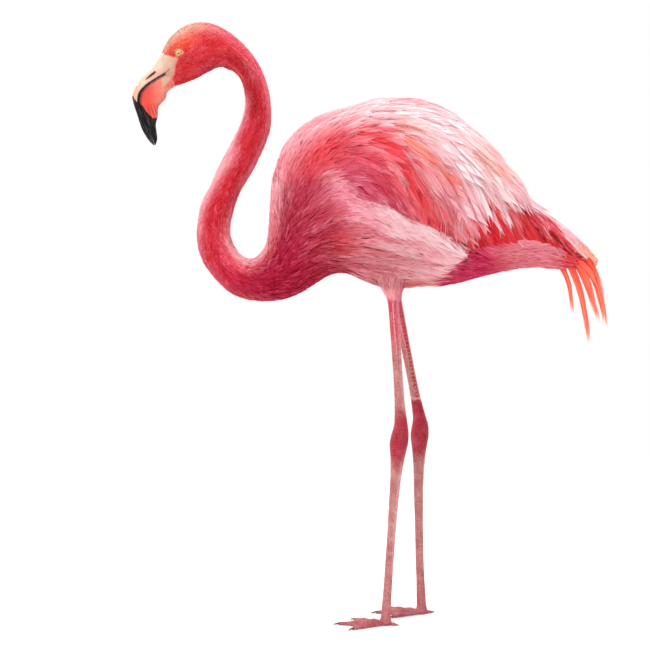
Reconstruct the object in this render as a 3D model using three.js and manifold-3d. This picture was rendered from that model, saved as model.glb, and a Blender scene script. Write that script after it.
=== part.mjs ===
// A life-size standing flamingo in millimetres, facing -X with +Z up and its left side at -Y.
// The trunk, neck, head and tail are lofts between a back line and a belly line. The wings are
// shells over the trunk, and the legs, feet, bill and plumes are smaller lofts of their own.
import * as THREE from "three";
import { mergeVertices } from "three/addons/utils/BufferGeometryUtils.js";
import Module from "manifold-3d";

const wasm = await Module();
wasm.setup();

const gap = 0.3; // clearance between neighbouring pieces
const cutStep = 0.004; // the same clearance, in stations of the body's loft
const ringSides = 20; // facets round the body
const legSpread = 40; // each leg stands this far from the middle plane
const footHeight = 16; // top of the foot's hub, where the leg begins
const soleHeight = 0;
const eyeRadius = 8.5;
const eyeCentre = { x: -311.5, y: 16.4, z: 939.8 };
const wingThickness = 11;
const wingEdge = 2.4;
const wingProud = 7; // how far the room cut for a wing stands clear of the trunk's outline
const wingSeam = { front: 46, rear: 2.5, narrow: 0.45 }; // the wings' distance from the middle plane
const toes = {
  inner: { length: 66, width: 11, height: 8.5 },
  middle: { length: 84, width: 12, height: 9 },
  outer: { length: 71, width: 11, height: 8.5 },
  hind: { length: 20, width: 7, height: 6 },
};
const toeSpread = THREE.MathUtils.degToRad(33);
const hindTurn = THREE.MathUtils.degToRad(20);
const clawStart = 0.86; // as a share of the toe's length
const webThickness = 2.4;
const webHeight = 0.8; // the web's underside above the floor

const tone = {
  crimson: 0xd8365a,
  rose: 0xe9829c,
  blush: 0xf3b9c4,
  scarlet: 0xe4453f,
  bone: 0xe8cdb8,
  coral: 0xee6f5c,
  amber: 0xe7c36a,
  leg: 0xc7818c,
};

// Back and belly points are [x, z] in the middle plane, and half is half the body's width there.
// keel above 0 puts the widest part nearer the back, below 0 nearer the belly.
const bodyStations = [
  { at: "brow", back: [-342, 936], belly: [-327, 886], half: 16, keel: 0 },
  { at: "lores", back: [-335, 952], belly: [-317, 887], half: 20, keel: 0.05 },
  { at: "eye", back: [-325, 967], belly: [-303, 891], half: 23.5, keel: 0.05 },
  { at: "crown", back: [-302, 985], belly: [-283, 899], half: 26, keel: 0 },
  { at: "nape", back: [-273, 991], belly: [-265, 909], half: 26, keel: 0 },
  { at: "arch", back: [-242, 982], belly: [-246, 917], half: 24, keel: 0 },
  { at: "neck 1", back: [-211, 959], belly: [-227, 912], half: 22.5, keel: 0 },
  { at: "neck 2", back: [-186, 929], belly: [-213, 899], half: 21.5, keel: 0 },
  { at: "neck 3", back: [-170, 895], belly: [-206, 879], half: 21, keel: 0 },
  { at: "neck 4", back: [-162, 854], belly: [-205, 855], half: 21, keel: 0 },
  { at: "neck 5", back: [-164, 816], belly: [-213, 824], half: 21.5, keel: 0 },
  { at: "neck 6", back: [-177, 780], belly: [-230, 791], half: 22.5, keel: 0 },
  { at: "neck 7", back: [-195, 745], belly: [-247, 758], half: 23.5, keel: 0 },
  { at: "neck 8", back: [-213, 715], belly: [-263, 724], half: 24.5, keel: 0 },
  { at: "neck 9", back: [-225, 681], belly: [-279, 690], half: 25.5, keel: 0 },
  { at: "neck 10", back: [-230, 650], belly: [-285, 642], half: 27, keel: 0 },
  { at: "neck 11", back: [-223, 626], belly: [-276, 602], half: 29, keel: 0 },
  { at: "neck 12", back: [-212, 611], belly: [-256, 573], half: 32, keel: 0 },
  { at: "crop", back: [-199, 605], belly: [-227, 547], half: 37, keel: 0 },
  { at: "breast 1", back: [-188, 608], belly: [-191, 536], half: 44, keel: 0 },
  { at: "breast 2", back: [-178, 618], belly: [-152, 536], half: 54, keel: 0 },
  { at: "breast 3", back: [-170, 635], belly: [-117, 547], half: 65, keel: 0 },
  { at: "breast 4", back: [-165, 668], belly: [-87, 565], half: 78, keel: 0 },
  { at: "breast 5", back: [-162, 708], belly: [-59, 579], half: 90, keel: 0.02 },
  { at: "shoulder 1", back: [-157, 750], belly: [-33, 579], half: 99, keel: 0.05 },
  { at: "shoulder 2", back: [-136, 795], belly: [-10, 569], half: 106, keel: 0.08 },
  { at: "back 1", back: [-101, 829], belly: [13, 559], half: 111, keel: 0.1 },
  { at: "back 2", back: [-53, 851], belly: [35, 554], half: 115, keel: 0.1 },
  { at: "back 3", back: [-1, 865], belly: [58, 553], half: 117, keel: 0.1 },
  { at: "back 4", back: [53, 868], belly: [84, 556], half: 116, keel: 0.1 },
  { at: "back 5", back: [110, 857], belly: [115, 558], half: 112, keel: 0.1 },
  { at: "rump 1", back: [163, 820], belly: [148, 563], half: 104, keel: 0.08 },
  { at: "rump 2", back: [209, 775], belly: [183, 573], half: 93, keel: 0.05 },
  { at: "rump 3", back: [241, 737], belly: [222, 583], half: 78, keel: 0 },
  { at: "tertials 1", back: [260, 701], belly: [260, 589], half: 60, keel: 0 },
  { at: "tertials 2", back: [298, 674], belly: [293, 588], half: 44, keel: 0 },
  { at: "tertials 3", back: [338, 643], belly: [329, 587], half: 27, keel: 0 },
  { at: "tertials 4", back: [375, 604], belly: [365, 587], half: 9, keel: 0 },
];
const stationOf = (name) => bodyStations.findIndex((station) => station.at === name);

// Where the body's loft is cut into nodes, as a place along the stations.
const cuts = {
  head: [0, stationOf("nape") + 0.4],
  neck_1: [stationOf("nape") + 0.4, stationOf("neck 3")],
  neck_2: [stationOf("neck 3"), stationOf("neck 6")],
  neck_3: [stationOf("neck 6"), stationOf("neck 9")],
  neck_4: [stationOf("neck 9"), stationOf("neck 11") + 0.5],
  neck_5: [stationOf("neck 11") + 0.5, stationOf("breast 2")],
  trunk: [stationOf("breast 2"), stationOf("rump 1") + 0.5],
};

// Behind the trunk the tail narrows inside the folded wings. Its first section is the trunk's last.
const tailStations = [
  { back: [183, 760], belly: [168, 574], half: 96, keel: -0.12 },
  { back: [213, 721], belly: [201, 580], half: 78, keel: -0.12 },
  { back: [246, 679], belly: [244, 588], half: 56, keel: -0.1 },
  { back: [277, 640], belly: [276, 589], half: 38, keel: -0.1 },
  { back: [302, 615], belly: [302, 586], half: 22, keel: 0 },
  { back: [317, 603], belly: [317, 588], half: 8, keel: 0 },
];

// The folded wing runs from the shoulder to the tip of the tertials. reach is how far down the
// body's side its lower edge comes, 0 at the back line and 1 at the belly line.
const wingSpan = { front: stationOf("shoulder 1") + 0.75, tip: stationOf("tertials 4") };
const wingReach = [0.3, 0.37, 0.49, 0.57, 0.64, 0.71, 0.76, 0.76, 0.73, 0.7, 0.68, 0.72, 0.8];

const billStations = [
  { ridge: [-338, 943], gape: [-322, 912], chin: [-318, 887], upper: 15, lower: 14 },
  { ridge: [-353, 922], gape: [-341, 903], chin: [-331, 877], upper: 14.5, lower: 13.5 },
  { ridge: [-364, 908], gape: [-353, 896.5], chin: [-334, 867], upper: 13, lower: 13 },
  { ridge: [-375, 899], gape: [-364, 889], chin: [-342, 858], upper: 11.5, lower: 13 },
  { ridge: [-383, 887], gape: [-371, 881.5], chin: [-346, 853], upper: 10.5, lower: 12.5 },
  { ridge: [-389, 874], gape: [-375.5, 874], chin: [-347, 844], upper: 9.5, lower: 12 },
  { ridge: [-387, 859], gape: [-377, 861], chin: [-348, 835], upper: 9, lower: 11 },
  { ridge: [-381, 840], gape: [-372, 842], chin: [-350.5, 826], upper: 8, lower: 9 },
  { ridge: [-373, 816], gape: [-364, 821], chin: [-349.8, 815], upper: 6, lower: 6.5 },
  { ridge: [-362, 798], gape: [-357, 804], chin: [-348.4, 802], upper: 3.8, lower: 3.8 },
  { ridge: [-354, 790], gape: [-353, 791], chin: [-351, 791.5], upper: 1, lower: 1 },
];

// course is the leg's middle line as [height, x], straight between its points.
const legs = {
  left: {
    side: -1,
    course: [
      [0, 25.5],
      [90, 31],
      [210, 39],
      [276, 44.5],
      [303, 46.5],
      [333, 50.5],
      [372, 48],
      [541, 37],
      [600, 34],
    ],
  },
  right: {
    side: 1,
    course: [
      [0, 89.5],
      [90, 85.5],
      [210, 83],
      [276, 83.5],
      [303, 84],
      [328, 85.5],
      [361, 79],
      [541, 43],
      [600, 34],
    ],
  },
};

// A leg is a column of ellipses: half its depth along X and half its width along Y at each height.
const legProfile = [
  { z: 16, depth: 8, width: 6 },
  { z: 60, depth: 7, width: 5.2 },
  { z: 150, depth: 7, width: 5 },
  { z: 213, depth: 8, width: 5.8 },
  { z: 250, depth: 9, width: 7 },
  { z: 276, depth: 11.2, width: 9 },
  { z: 303, depth: 15, width: 12.2 },
  { z: 320, depth: 13.6, width: 11 },
  { z: 334, depth: 10.6, width: 9 },
  { z: 372, depth: 7.6, width: 6.6 },
  { z: 412, depth: 6.9, width: 5.8 },
  { z: 470, depth: 7.4, width: 6.4 },
  { z: 541, depth: 9.2, width: 8.2 },
];
const ankleSpan = [270, 334];
const cuffHeight = 533; // the lower end of the feathered thigh
const thighTop = 600;
const hubProfile = [
  { z: soleHeight, depth: 8, width: 7.5 },
  { z: 6, depth: 9.5, width: 9 },
  { z: 11, depth: 8.8, width: 7.4 },
  { z: footHeight - gap, depth: 8, width: 6 },
];
const thighProfile = [
  { z: cuffHeight, depth: 10, width: 9.4 },
  { z: 546, depth: 13, width: 12.4 },
  { z: 557, depth: 17.5, width: 16 },
  { z: 572, depth: 25, width: 22 },
  { z: thighTop, depth: 34, width: 28 },
];

// The drooping plumes as [x, z] points. splay moves a blade's tip outwards, away from its root.
const plumeBlades = [
  { root: [312, 592], bend: [334, 566], tip: [336, 512], width: 13, thickness: 4.5, splay: 4 },
  { root: [330, 598], bend: [354, 548], tip: [362, 463], width: 17, thickness: 5, splay: 2 },
  { root: [344, 598], bend: [371, 552], tip: [378, 497], width: 14, thickness: 4.5, splay: -1 },
  { root: [354, 598], bend: [382, 556], tip: [389.5, 491], width: 13, thickness: 4, splay: -3 },
  { root: [312, 596], bend: [342, 596], tip: [374, 586], width: 17, thickness: 5, splay: 0 },
];
const plumeOffset = 10; // from the middle plane to the roots

// A smooth curve through equally spaced values, read at place t.
function smooth(values, t) {
  const last = values.length - 1;
  const i = Math.min(Math.max(Math.floor(t), 0), last - 1);
  const f = t - i;
  const [b, c] = [values[i], values[i + 1]];
  const a = i > 0 ? values[i - 1] : 2 * b - c;
  const d = i + 2 <= last ? values[i + 2] : 2 * c - b;
  return b + 0.5 * f * (c - a + f * (2 * a - 5 * b + 4 * c - d + f * (3 * (b - c) + d - a)));
}

function readStation(stations, t) {
  const read = (pick) => smooth(stations.map(pick), t);
  return {
    back: new THREE.Vector3(read((s) => s.back[0]), 0, read((s) => s.back[1])),
    belly: new THREE.Vector3(read((s) => s.belly[0]), 0, read((s) => s.belly[1])),
    half: read((s) => s.half),
    keel: read((s) => s.keel),
  };
}

// A point of a body loft: angle 0 is the back line, pi the belly line, and side -1 the left.
// grow moves it outwards, or inwards where it is negative.
function bodyPoint(stations, t, angle, side, grow = 0) {
  const { back, belly, half, keel } = readStation(stations, t);
  const centre = back.clone().add(belly).multiplyScalar(0.5);
  const up = back.clone().sub(belly).multiplyScalar(0.5);
  const reach = up.length() + grow;
  const across = (half + grow) * Math.sin(angle) * (1 + keel * Math.cos(angle));
  const point = centre.addScaledVector(up.normalize(), reach * Math.cos(angle));
  point.y = side * across;
  return point;
}

// Joins rings of equal length into one closed mesh, with a fan over each end.
function loft(rings) {
  const sides = rings[0].length;
  const points = rings.flat();
  const index = [];
  for (let r = 0; r + 1 < rings.length; r += 1) {
    for (let k = 0; k < sides; k += 1) {
      const [a, b] = [r * sides + k, r * sides + ((k + 1) % sides)];
      index.push(a, b, b + sides, a, b + sides, a + sides);
    }
  }
  for (const [ring, flip] of [[0, true], [rings.length - 1, false]]) {
    const middle = new THREE.Vector3();
    rings[ring].forEach((point) => middle.addScaledVector(point, 1 / sides));
    const hub = points.push(middle) - 1;
    for (let k = 0; k < sides; k += 1) {
      const [a, b] = [ring * sides + k, ring * sides + ((k + 1) % sides)];
      index.push(hub, ...(flip ? [b, a] : [a, b]));
    }
  }
  return toSolid(points, index);
}

// A closed solid from points and triangles, turned right side out where it comes inside out.
function toSolid(points, index) {
  const geometry = new THREE.BufferGeometry().setFromPoints(points);
  geometry.setIndex(index);
  const merged = mergeVertices(geometry, 1e-3);
  const position = merged.getAttribute("position");
  const corners = Array.from(merged.getIndex().array);
  const faces = [];
  let volume = 0;
  const [p, q, r] = [new THREE.Vector3(), new THREE.Vector3(), new THREE.Vector3()];
  for (let f = 0; f < corners.length; f += 3) {
    const face = corners.slice(f, f + 3);
    if (new Set(face).size === 3) {
      faces.push(face);
      p.fromBufferAttribute(position, face[0]);
      q.fromBufferAttribute(position, face[1]);
      r.fromBufferAttribute(position, face[2]);
      volume += p.dot(q.cross(r));
    }
  }
  const outward = volume < 0 ? faces.map(([a, b, c]) => [a, c, b]) : faces;
  return new wasm.Manifold(
    new wasm.Mesh({
      numProp: 3,
      vertProperties: new Float32Array(position.array),
      triVerts: new Uint32Array(outward.flat()),
    }),
  );
}

// Rings for each station of a loft.
const bodyRows = 1.25;
const tailRows = 2;
const closeRows = 3;

function bodyLoft(stations, [from, to], grow = 0, rowsPerStation = bodyRows) {
  const rows = Math.ceil((to - from) * rowsPerStation);
  const rings = [];
  for (let row = 0; row <= rows; row += 1) {
    const t = from + ((to - from) * row) / rows;
    const ring = [];
    for (let k = 0; k < ringSides; k += 1) {
      const angle = (2 * Math.PI * k) / ringSides;
      ring.push(bodyPoint(stations, t, angle, 1, grow));
    }
    rings.push(ring);
  }
  return loft(rings);
}

const meshOf = (solid, colour, roughness = 0.75) => {
  const { vertProperties, triVerts } = solid.getMesh();
  const geometry = new THREE.BufferGeometry();
  geometry.setAttribute("position", new THREE.BufferAttribute(vertProperties, 3));
  geometry.setIndex(new THREE.BufferAttribute(triVerts, 1));
  geometry.computeVertexNormals();
  const material = new THREE.MeshStandardMaterial({ color: colour, roughness, metalness: 0 });
  return new THREE.Mesh(geometry, material);
};

const steepestSeam = 0.6; // the seam's share of the half width at most
const noseLength = 0.14; // the rounded front end, as a share of the wing's length
const noseWidth = 0.12; // the width left at its very front
const wingRows = 17;
const wingColumns = 6;
const rimSteepness = { ends: 5, edges: 3.2 };
const rearThinning = 0.55;
const spareShare = { along: 0.01, across: 0.07 }; // of the wing for each millimetre of spare

// The wing's own place along its length (0 to 1) and across it (0 at the back, 1 at the lower
// edge), turned into a point of the body's loft.
function wingPoint(along, across, side, grow) {
  const t = THREE.MathUtils.lerp(wingSpan.front, wingSpan.tip, along);
  const reach = smooth(wingReach, along * (wingReach.length - 1));
  const low = Math.acos(1 - 2 * reach);
  const { half } = readStation(bodyStations, t);
  const { front, rear, narrow } = wingSeam;
  const seam = THREE.MathUtils.lerp(front, rear, Math.min(along / narrow, 1));
  const high = Math.asin(Math.min(seam / half, steepestSeam));
  const nose = THREE.MathUtils.clamp(along / noseLength, 0, 1);
  const blunt = Math.sqrt(nose * (2 - nose));
  const middle = (low + high) / 2;
  const angle = middle + (across - 0.5) * (low - high) * Math.max(blunt, noseWidth);
  return bodyPoint(bodyStations, t, angle, side, grow);
}

// A shell from the body's outline inwards, thin at its edges. spare widens it on every side, and
// proud lifts its outer face clear of the trunk that it cuts.
function wingSolid(side, spare = 0, proud = 0) {
  const outer = [];
  const inner = [];
  for (let row = 0; row <= wingRows; row += 1) {
    for (let column = 0; column <= wingColumns; column += 1) {
      const [u, v] = [row / wingRows, column / wingColumns];
      const fromEnds = rimSteepness.ends * Math.min(u, 1 - u);
      const fromEdges = rimSteepness.edges * Math.min(v, 1 - v);
      const rim = Math.sqrt(Math.min(1, fromEnds, fromEdges)) * (1 - rearThinning * u);
      const thick = wingEdge + (wingThickness - wingEdge) * rim;
      const along = u + spareShare.along * spare * (Math.floor(u) - (u === 0));
      const across = v + spareShare.across * spare * (Math.floor(v) - (v === 0));
      outer.push(wingPoint(along, across, side, proud));
      inner.push(wingPoint(along, across, side, -thick - spare));
    }
  }
  const width = wingColumns + 1;
  const index = [];
  const under = outer.length;
  const quad = (a, b, c, d) => index.push(a, b, c, a, c, d);
  for (let row = 0; row < wingRows; row += 1) {
    for (let column = 0; column < wingColumns; column += 1) {
      const a = row * width + column;
      quad(a, a + 1, a + width + 1, a + width);
      quad(under + a, under + a + width, under + a + width + 1, under + a + 1);
    }
    const [low, high] = [row * width, row * width + wingColumns];
    quad(low, low + width, under + low + width, under + low);
    quad(high, under + high, under + high + width, high + width);
  }
  for (let column = 0; column < wingColumns; column += 1) {
    const [first, last] = [column, wingRows * width + column];
    quad(first, under + first, under + first + 1, first + 1);
    quad(last, last + 1, under + last + 1, under + last);
  }
  return toSolid([...outer, ...inner], index);
}

const bladeSteps = 4;
const bladeSides = 6;
const bladeTip = 0.12; // the width left at the tip, as a share of the widest part
const bladeRoot = 0.28; // where on a half sine wave the blade begins
const bladeFullness = 0.7;

// A blade from root to tip with a lens section that narrows to the tip.
function blade(side, { root, bend, tip, width, thickness, splay }) {
  const place = ([x, z], outward) => new THREE.Vector3(x, side * (plumeOffset + outward), z);
  const path = new THREE.QuadraticBezierCurve3(place(root, 0), place(bend, 0), place(tip, splay));
  const rings = [];
  for (let step = 0; step <= bladeSteps; step += 1) {
    const u = step / bladeSteps;
    const along = path.getTangent(u);
    const across = new THREE.Vector3(along.z, 0, -along.x).normalize();
    const swell = Math.sin(Math.PI * THREE.MathUtils.lerp(bladeRoot, 1, u));
    const share = THREE.MathUtils.lerp(bladeTip, 1, Math.pow(Math.abs(swell), bladeFullness));
    const ring = [];
    for (let k = 0; k < bladeSides; k += 1) {
      const angle = (2 * Math.PI * k) / bladeSides;
      const point = path.getPoint(u).addScaledVector(across, (width / 2) * share * Math.cos(angle));
      point.y += (thickness / 2) * Math.sin(angle) * (1 - u / 2);
      ring.push(point);
    }
    rings.push(ring);
  }
  return loft(rings);
}

const plumes = (side) =>
  plumeBlades.map((shape) => blade(side, shape)).reduce((whole, next) => whole.add(next));

const billRows = 13;
const billColumns = 8;
const upperFullness = 0.8; // below 1 the dome's sides stand steeper
const lowerFullness = 0.6;

// One half of the bill: a dome from the gape line out to the ridge or the chin.
function billHalf(outerLine, widthKey, fullness) {
  const rings = [];
  for (let row = 0; row <= billRows; row += 1) {
    const t = (row / billRows) * (billStations.length - 1);
    const read = (pick) => smooth(billStations.map(pick), t);
    const base = new THREE.Vector3(read((s) => s.gape[0]), 0, read((s) => s.gape[1]));
    const rim = new THREE.Vector3(read((s) => s[outerLine][0]), 0, read((s) => s[outerLine][1]));
    const height = rim.distanceTo(base);
    const up = rim.sub(base).normalize();
    const half = read((s) => s[widthKey]);
    const ring = [];
    for (let k = 0; k <= billColumns; k += 1) {
      const angle = (Math.PI * k) / billColumns;
      const lift = gap + (height - gap) * Math.pow(Math.sin(angle), fullness);
      const point = base.clone().addScaledVector(up, lift);
      point.y = half * Math.cos(angle);
      ring.push(point);
    }
    rings.push(ring);
  }
  return loft(rings);
}

const legSides = 12;
const toeSteps = 7;
const toeSides = 8;
const toeMiddle = 0.42; // the height of a toe's widest line, as a share of its full height
const toeTaper = { width: 0.3, height: 0.42 };
const padSwell = 0.1;
const padCount = 3;
const clawTip = 0.2;
const webColumns = 4;
const webShares = [0.04, 0.55, 1]; // from the leg out to the free edge
const webReach = { edges: 0.86, notch: 0.2 };
const toeRootAhead = 2;
const hindRootBehind = 4;

const ellipseRing = (centre, depth, width) =>
  Array.from({ length: legSides }, (_, k) => {
    const angle = (2 * Math.PI * k) / legSides;
    return new THREE.Vector3(
      centre.x + depth * Math.cos(angle),
      centre.y + width * Math.sin(angle),
      centre.z,
    );
  });

function legMiddle(leg, z) {
  const i = Math.max(leg.course.findIndex(([height]) => height >= z), 1);
  const [[lowZ, lowX], [highZ, highX]] = [leg.course[i - 1], leg.course[i]];
  const x = THREE.MathUtils.mapLinear(z, lowZ, highZ, lowX, highX);
  return new THREE.Vector3(x, leg.side * legSpread, z);
}

function column(leg, profile, from, to) {
  const heights = profile.map((row) => row.z).filter((z) => z > from + 1 && z < to - 1);
  const rings = [from, ...heights, to].map((z) => {
    const i = Math.max(profile.findIndex((row) => row.z >= z), 1);
    const [low, high] = [profile[i - 1], profile[i]];
    const depth = THREE.MathUtils.mapLinear(z, low.z, high.z, low.depth, high.depth);
    const width = THREE.MathUtils.mapLinear(z, low.z, high.z, low.width, high.width);
    return ellipseRing(legMiddle(leg, z), depth, width);
  });
  return loft(rings);
}

// A toe lies along the floor from the foot's hub, flat beneath, with a pad at every joint and a
// blunt claw.
function toe(origin, heading, { length, width, height }) {
  const ahead = new THREE.Vector3(-Math.cos(heading), Math.sin(heading), 0);
  const aside = new THREE.Vector3(-ahead.y, ahead.x, 0);
  const rings = [];
  for (let step = 0; step <= toeSteps; step += 1) {
    const u = step / toeSteps;
    const pads = 1 + padSwell * Math.cos(2 * Math.PI * padCount * u);
    const claw = u > clawStart ? THREE.MathUtils.mapLinear(u, clawStart, 1, 1, clawTip) : 1;
    const half = (width / 2) * (1 - toeTaper.width * u) * pads * claw;
    const tall = height * (1 - toeTaper.height * u) * pads * claw;
    const ring = [];
    for (let k = 0; k < toeSides; k += 1) {
      const angle = (2 * Math.PI * k) / toeSides;
      const point = origin.clone().addScaledVector(ahead, length * u);
      point.addScaledVector(aside, half * Math.cos(angle));
      point.z = Math.max(soleHeight, tall * (toeMiddle + (1 - toeMiddle) * Math.sin(angle)));
      ring.push(point);
    }
    rings.push(ring);
  }
  return loft(rings);
}

// The skin between two toes, its free edge drawn in towards the leg.
function web(origin, from, to, toeFrom, toeTo) {
  const top = [];
  const bottom = [];
  for (let k = 0; k <= webColumns; k += 1) {
    const f = k / webColumns;
    const heading = THREE.MathUtils.lerp(from, to, f);
    const length = THREE.MathUtils.lerp(toeFrom.length, toeTo.length, f);
    const reach = length * (webReach.edges - webReach.notch * Math.sin(Math.PI * f));
    for (const share of webShares) {
      const x = origin.x - Math.cos(heading) * reach * share;
      const y = origin.y + Math.sin(heading) * reach * share;
      top.push(new THREE.Vector3(x, y, webHeight + webThickness * (1 + (1 - share) / 2)));
      bottom.push(new THREE.Vector3(x, y, webHeight));
    }
  }
  const index = [];
  const under = top.length;
  const quad = (a, b, c, d) => index.push(a, b, c, a, c, d);
  const row = webShares.length;
  for (let k = 0; k < webColumns; k += 1) {
    const a = k * row;
    for (const s of [a, a + 1]) {
      quad(s, s + 1, s + row + 1, s + row);
      quad(under + s, under + s + row, under + s + row + 1, under + s + 1);
    }
    const edge = a + row - 1;
    quad(a, a + row, under + a + row, under + a);
    quad(edge, under + edge, under + edge + row, edge + row);
  }
  const end = webColumns * row;
  for (const s of [0, 1]) {
    quad(s, under + s, under + s + 1, s + 1);
    quad(end + s, end + s + 1, under + end + s + 1, under + end + s);
  }
  return toSolid([...top, ...bottom], index);
}

function foot(leg) {
  const heel = legMiddle(leg, soleHeight);
  const origin = heel.clone().setX(heel.x - toeRootAhead);
  const back = heel.clone().setX(heel.x + hindRootBehind);
  const outward = leg.side * toeSpread;
  const { inner, middle, outer, hind } = toes;
  const hub = loft(hubProfile.map(({ z, depth, width }) => ellipseRing(legMiddle(leg, z), depth, width)));
  return [
    toe(origin, 0, middle),
    toe(origin, outward, outer),
    toe(origin, -outward, inner),
    toe(back, Math.PI - leg.side * hindTurn, hind),
    web(origin, 0, outward, middle, outer),
    web(origin, -outward, 0, inner, middle),
  ].reduce((whole, next) => whole.add(next), hub);
}

const flamingo = new THREE.Group();
function addNode(name, solid, colour, roughness) {
  const mesh = meshOf(solid, colour, roughness);
  mesh.name = name;
  flamingo.add(mesh);
}

const wingSides = { left: -1, right: 1 };
const wingRoom = Object.values(wingSides)
  .map((side) => wingSolid(side, gap, wingProud))
  .reduce((whole, next) => whole.add(next));

const eyeDetail = 2;
const eyeBall = (side, radius) => {
  const geometry = new THREE.IcosahedronGeometry(radius, eyeDetail);
  geometry.translate(eyeCentre.x, side * eyeCentre.y, eyeCentre.z);
  geometry.deleteAttribute("normal");
  geometry.deleteAttribute("uv");
  const merged = mergeVertices(geometry, 1e-3);
  const position = merged.getAttribute("position");
  const points = Array.from({ length: position.count }, (_, i) =>
    new THREE.Vector3().fromBufferAttribute(position, i),
  );
  return toSolid(points, Array.from(merged.getIndex().array));
};

for (const [name, [from, to]] of Object.entries(cuts)) {
  const start = from + (from > 0 ? cutStep : 0);
  const end = to - cutStep;
  let solid = bodyLoft(bodyStations, [start, end]);
  if (name === "head") {
    for (const side of Object.values(wingSides)) {
      solid = solid.subtract(eyeBall(side, eyeRadius + gap));
      addNode(side < 0 ? "eye_left" : "eye_right", eyeBall(side, eyeRadius), tone.amber, 0.15);
    }
  }
  if (name === "trunk") {
    solid = solid.subtract(wingRoom);
  }
  addNode(name, solid, name === "trunk" ? tone.rose : tone.crimson);
}

const headRoom = bodyLoft(bodyStations, [-0.02, stationOf("crown")], gap, closeRows);
const upperBill = billHalf("ridge", "upper", upperFullness).subtract(headRoom);
const lowerBill = billHalf("chin", "lower", lowerFullness).subtract(headRoom);
addNode("bill_upper", upperBill, tone.bone, 0.45);
addNode("bill_lower", lowerBill, tone.coral, 0.45);

const [breastEnd, rumpEnd] = cuts.trunk;
const trunkRoom = bodyLoft(bodyStations, [breastEnd - cutStep, rumpEnd + cutStep], gap);
const tailSpan = [0, tailStations.length - 1];
const tail = bodyLoft(tailStations, tailSpan, 0, tailRows).subtract(wingRoom).subtract(trunkRoom);
const tailRoom = bodyLoft(tailStations, tailSpan, gap, tailRows);
addNode("tail", tail, tone.rose);

for (const [name, side] of Object.entries(wingSides)) {
  addNode(`wing_${name}`, wingSolid(side), tone.blush);
  addNode(`plumes_${name}`, plumes(side).subtract(wingRoom).subtract(tailRoom), tone.scarlet);
}
for (const [name, leg] of Object.entries(legs)) {
  const [ankleLow, ankleHigh] = ankleSpan;
  const thigh = column(leg, thighProfile, cuffHeight, thighTop).subtract(trunkRoom);
  addNode(`thigh_${name}`, thigh, tone.blush);
  addNode(`shin_${name}`, column(leg, legProfile, ankleHigh + gap, cuffHeight - gap), tone.leg, 0.6);
  addNode(`ankle_${name}`, column(leg, legProfile, ankleLow, ankleHigh), tone.crimson, 0.6);
  addNode(`tarsus_${name}`, column(leg, legProfile, footHeight, ankleLow - gap), tone.leg, 0.6);
  addNode(`foot_${name}`, foot(leg), tone.leg, 0.6);
}

export default flamingo;
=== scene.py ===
import math
import bmesh
import bpy
import numpy as np
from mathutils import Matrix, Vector
from mathutils.kdtree import KDTree


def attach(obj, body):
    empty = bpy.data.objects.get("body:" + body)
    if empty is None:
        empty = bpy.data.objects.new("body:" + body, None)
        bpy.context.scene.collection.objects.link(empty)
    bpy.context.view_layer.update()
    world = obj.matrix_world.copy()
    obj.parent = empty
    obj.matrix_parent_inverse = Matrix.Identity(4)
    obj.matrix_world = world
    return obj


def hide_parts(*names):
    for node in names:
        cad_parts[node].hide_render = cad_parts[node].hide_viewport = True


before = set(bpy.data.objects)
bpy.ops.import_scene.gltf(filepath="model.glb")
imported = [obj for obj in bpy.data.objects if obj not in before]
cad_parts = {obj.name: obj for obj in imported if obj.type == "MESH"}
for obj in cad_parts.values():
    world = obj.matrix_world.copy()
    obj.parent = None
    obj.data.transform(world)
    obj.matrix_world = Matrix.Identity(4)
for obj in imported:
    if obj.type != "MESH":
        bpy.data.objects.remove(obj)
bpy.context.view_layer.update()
scene = bpy.context.scene
mm = 0.001
sides = {"Left": -1, "Right": 1}  # which way y points


studio = {
    "aim": (-0.07425, 0.0, 0.495), "elevation": 6.0, "distance": 3.6,  # where the camera looks and stands
    "lens": 120.84, "sensor": 36.0, "farthest": 100.0,
    "skyLight": 0.58, "backdrop": 1.0,  # how bright the sky is as a light and to look at
}
# Soft lights: place, aim, width, power.
lamps = {
    "key": ((-1.3, -2.5, 2.3), (0.0, 0.0, 0.65), 1.8, 66),
    "top": ((0.3, 0.0, 2.9), (0.0, 0.0, 0.6), 1.6, 42),
    "rimLeft": ((-2.0, 1.5, 1.3), (-0.1, 0.0, 0.7), 1.2, 32),
    "rimRight": ((1.8, 1.5, 1.6), (0.0, 0.0, 0.7), 1.2, 32),
}


def aimed(place, target):
    return (Vector(target) - Vector(place)).to_track_quat("-Z", "Y").to_euler()


def setStudio():
    tilt = math.radians(studio["elevation"])
    aim = studio["aim"]
    place = (aim[0], aim[1] - studio["distance"] * math.cos(tilt), aim[2] + studio["distance"] * math.sin(tilt))
    cameraData = bpy.data.cameras.new("viewCamera")
    cameraData.lens = studio["lens"]
    cameraData.sensor_width = studio["sensor"]
    cameraData.clip_end = studio["farthest"]
    camera = bpy.data.objects.new("viewCamera", cameraData)
    camera.location = place
    camera.rotation_euler = aimed(place, aim)
    scene.collection.objects.link(camera)
    scene.camera = camera
    for name, (spot, target, width, power) in lamps.items():
        data = bpy.data.lights.new(name, "AREA")
        data.shape = "DISK"
        data.size = width
        data.energy = power
        lamp = bpy.data.objects.new(name, data)
        lamp.location = spot
        lamp.rotation_euler = aimed(spot, target)
        scene.collection.objects.link(lamp)
    scene.view_settings.view_transform = "Standard"
    print("studio: a camera and", len(lamps), "lamps")


setStudio()


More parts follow.
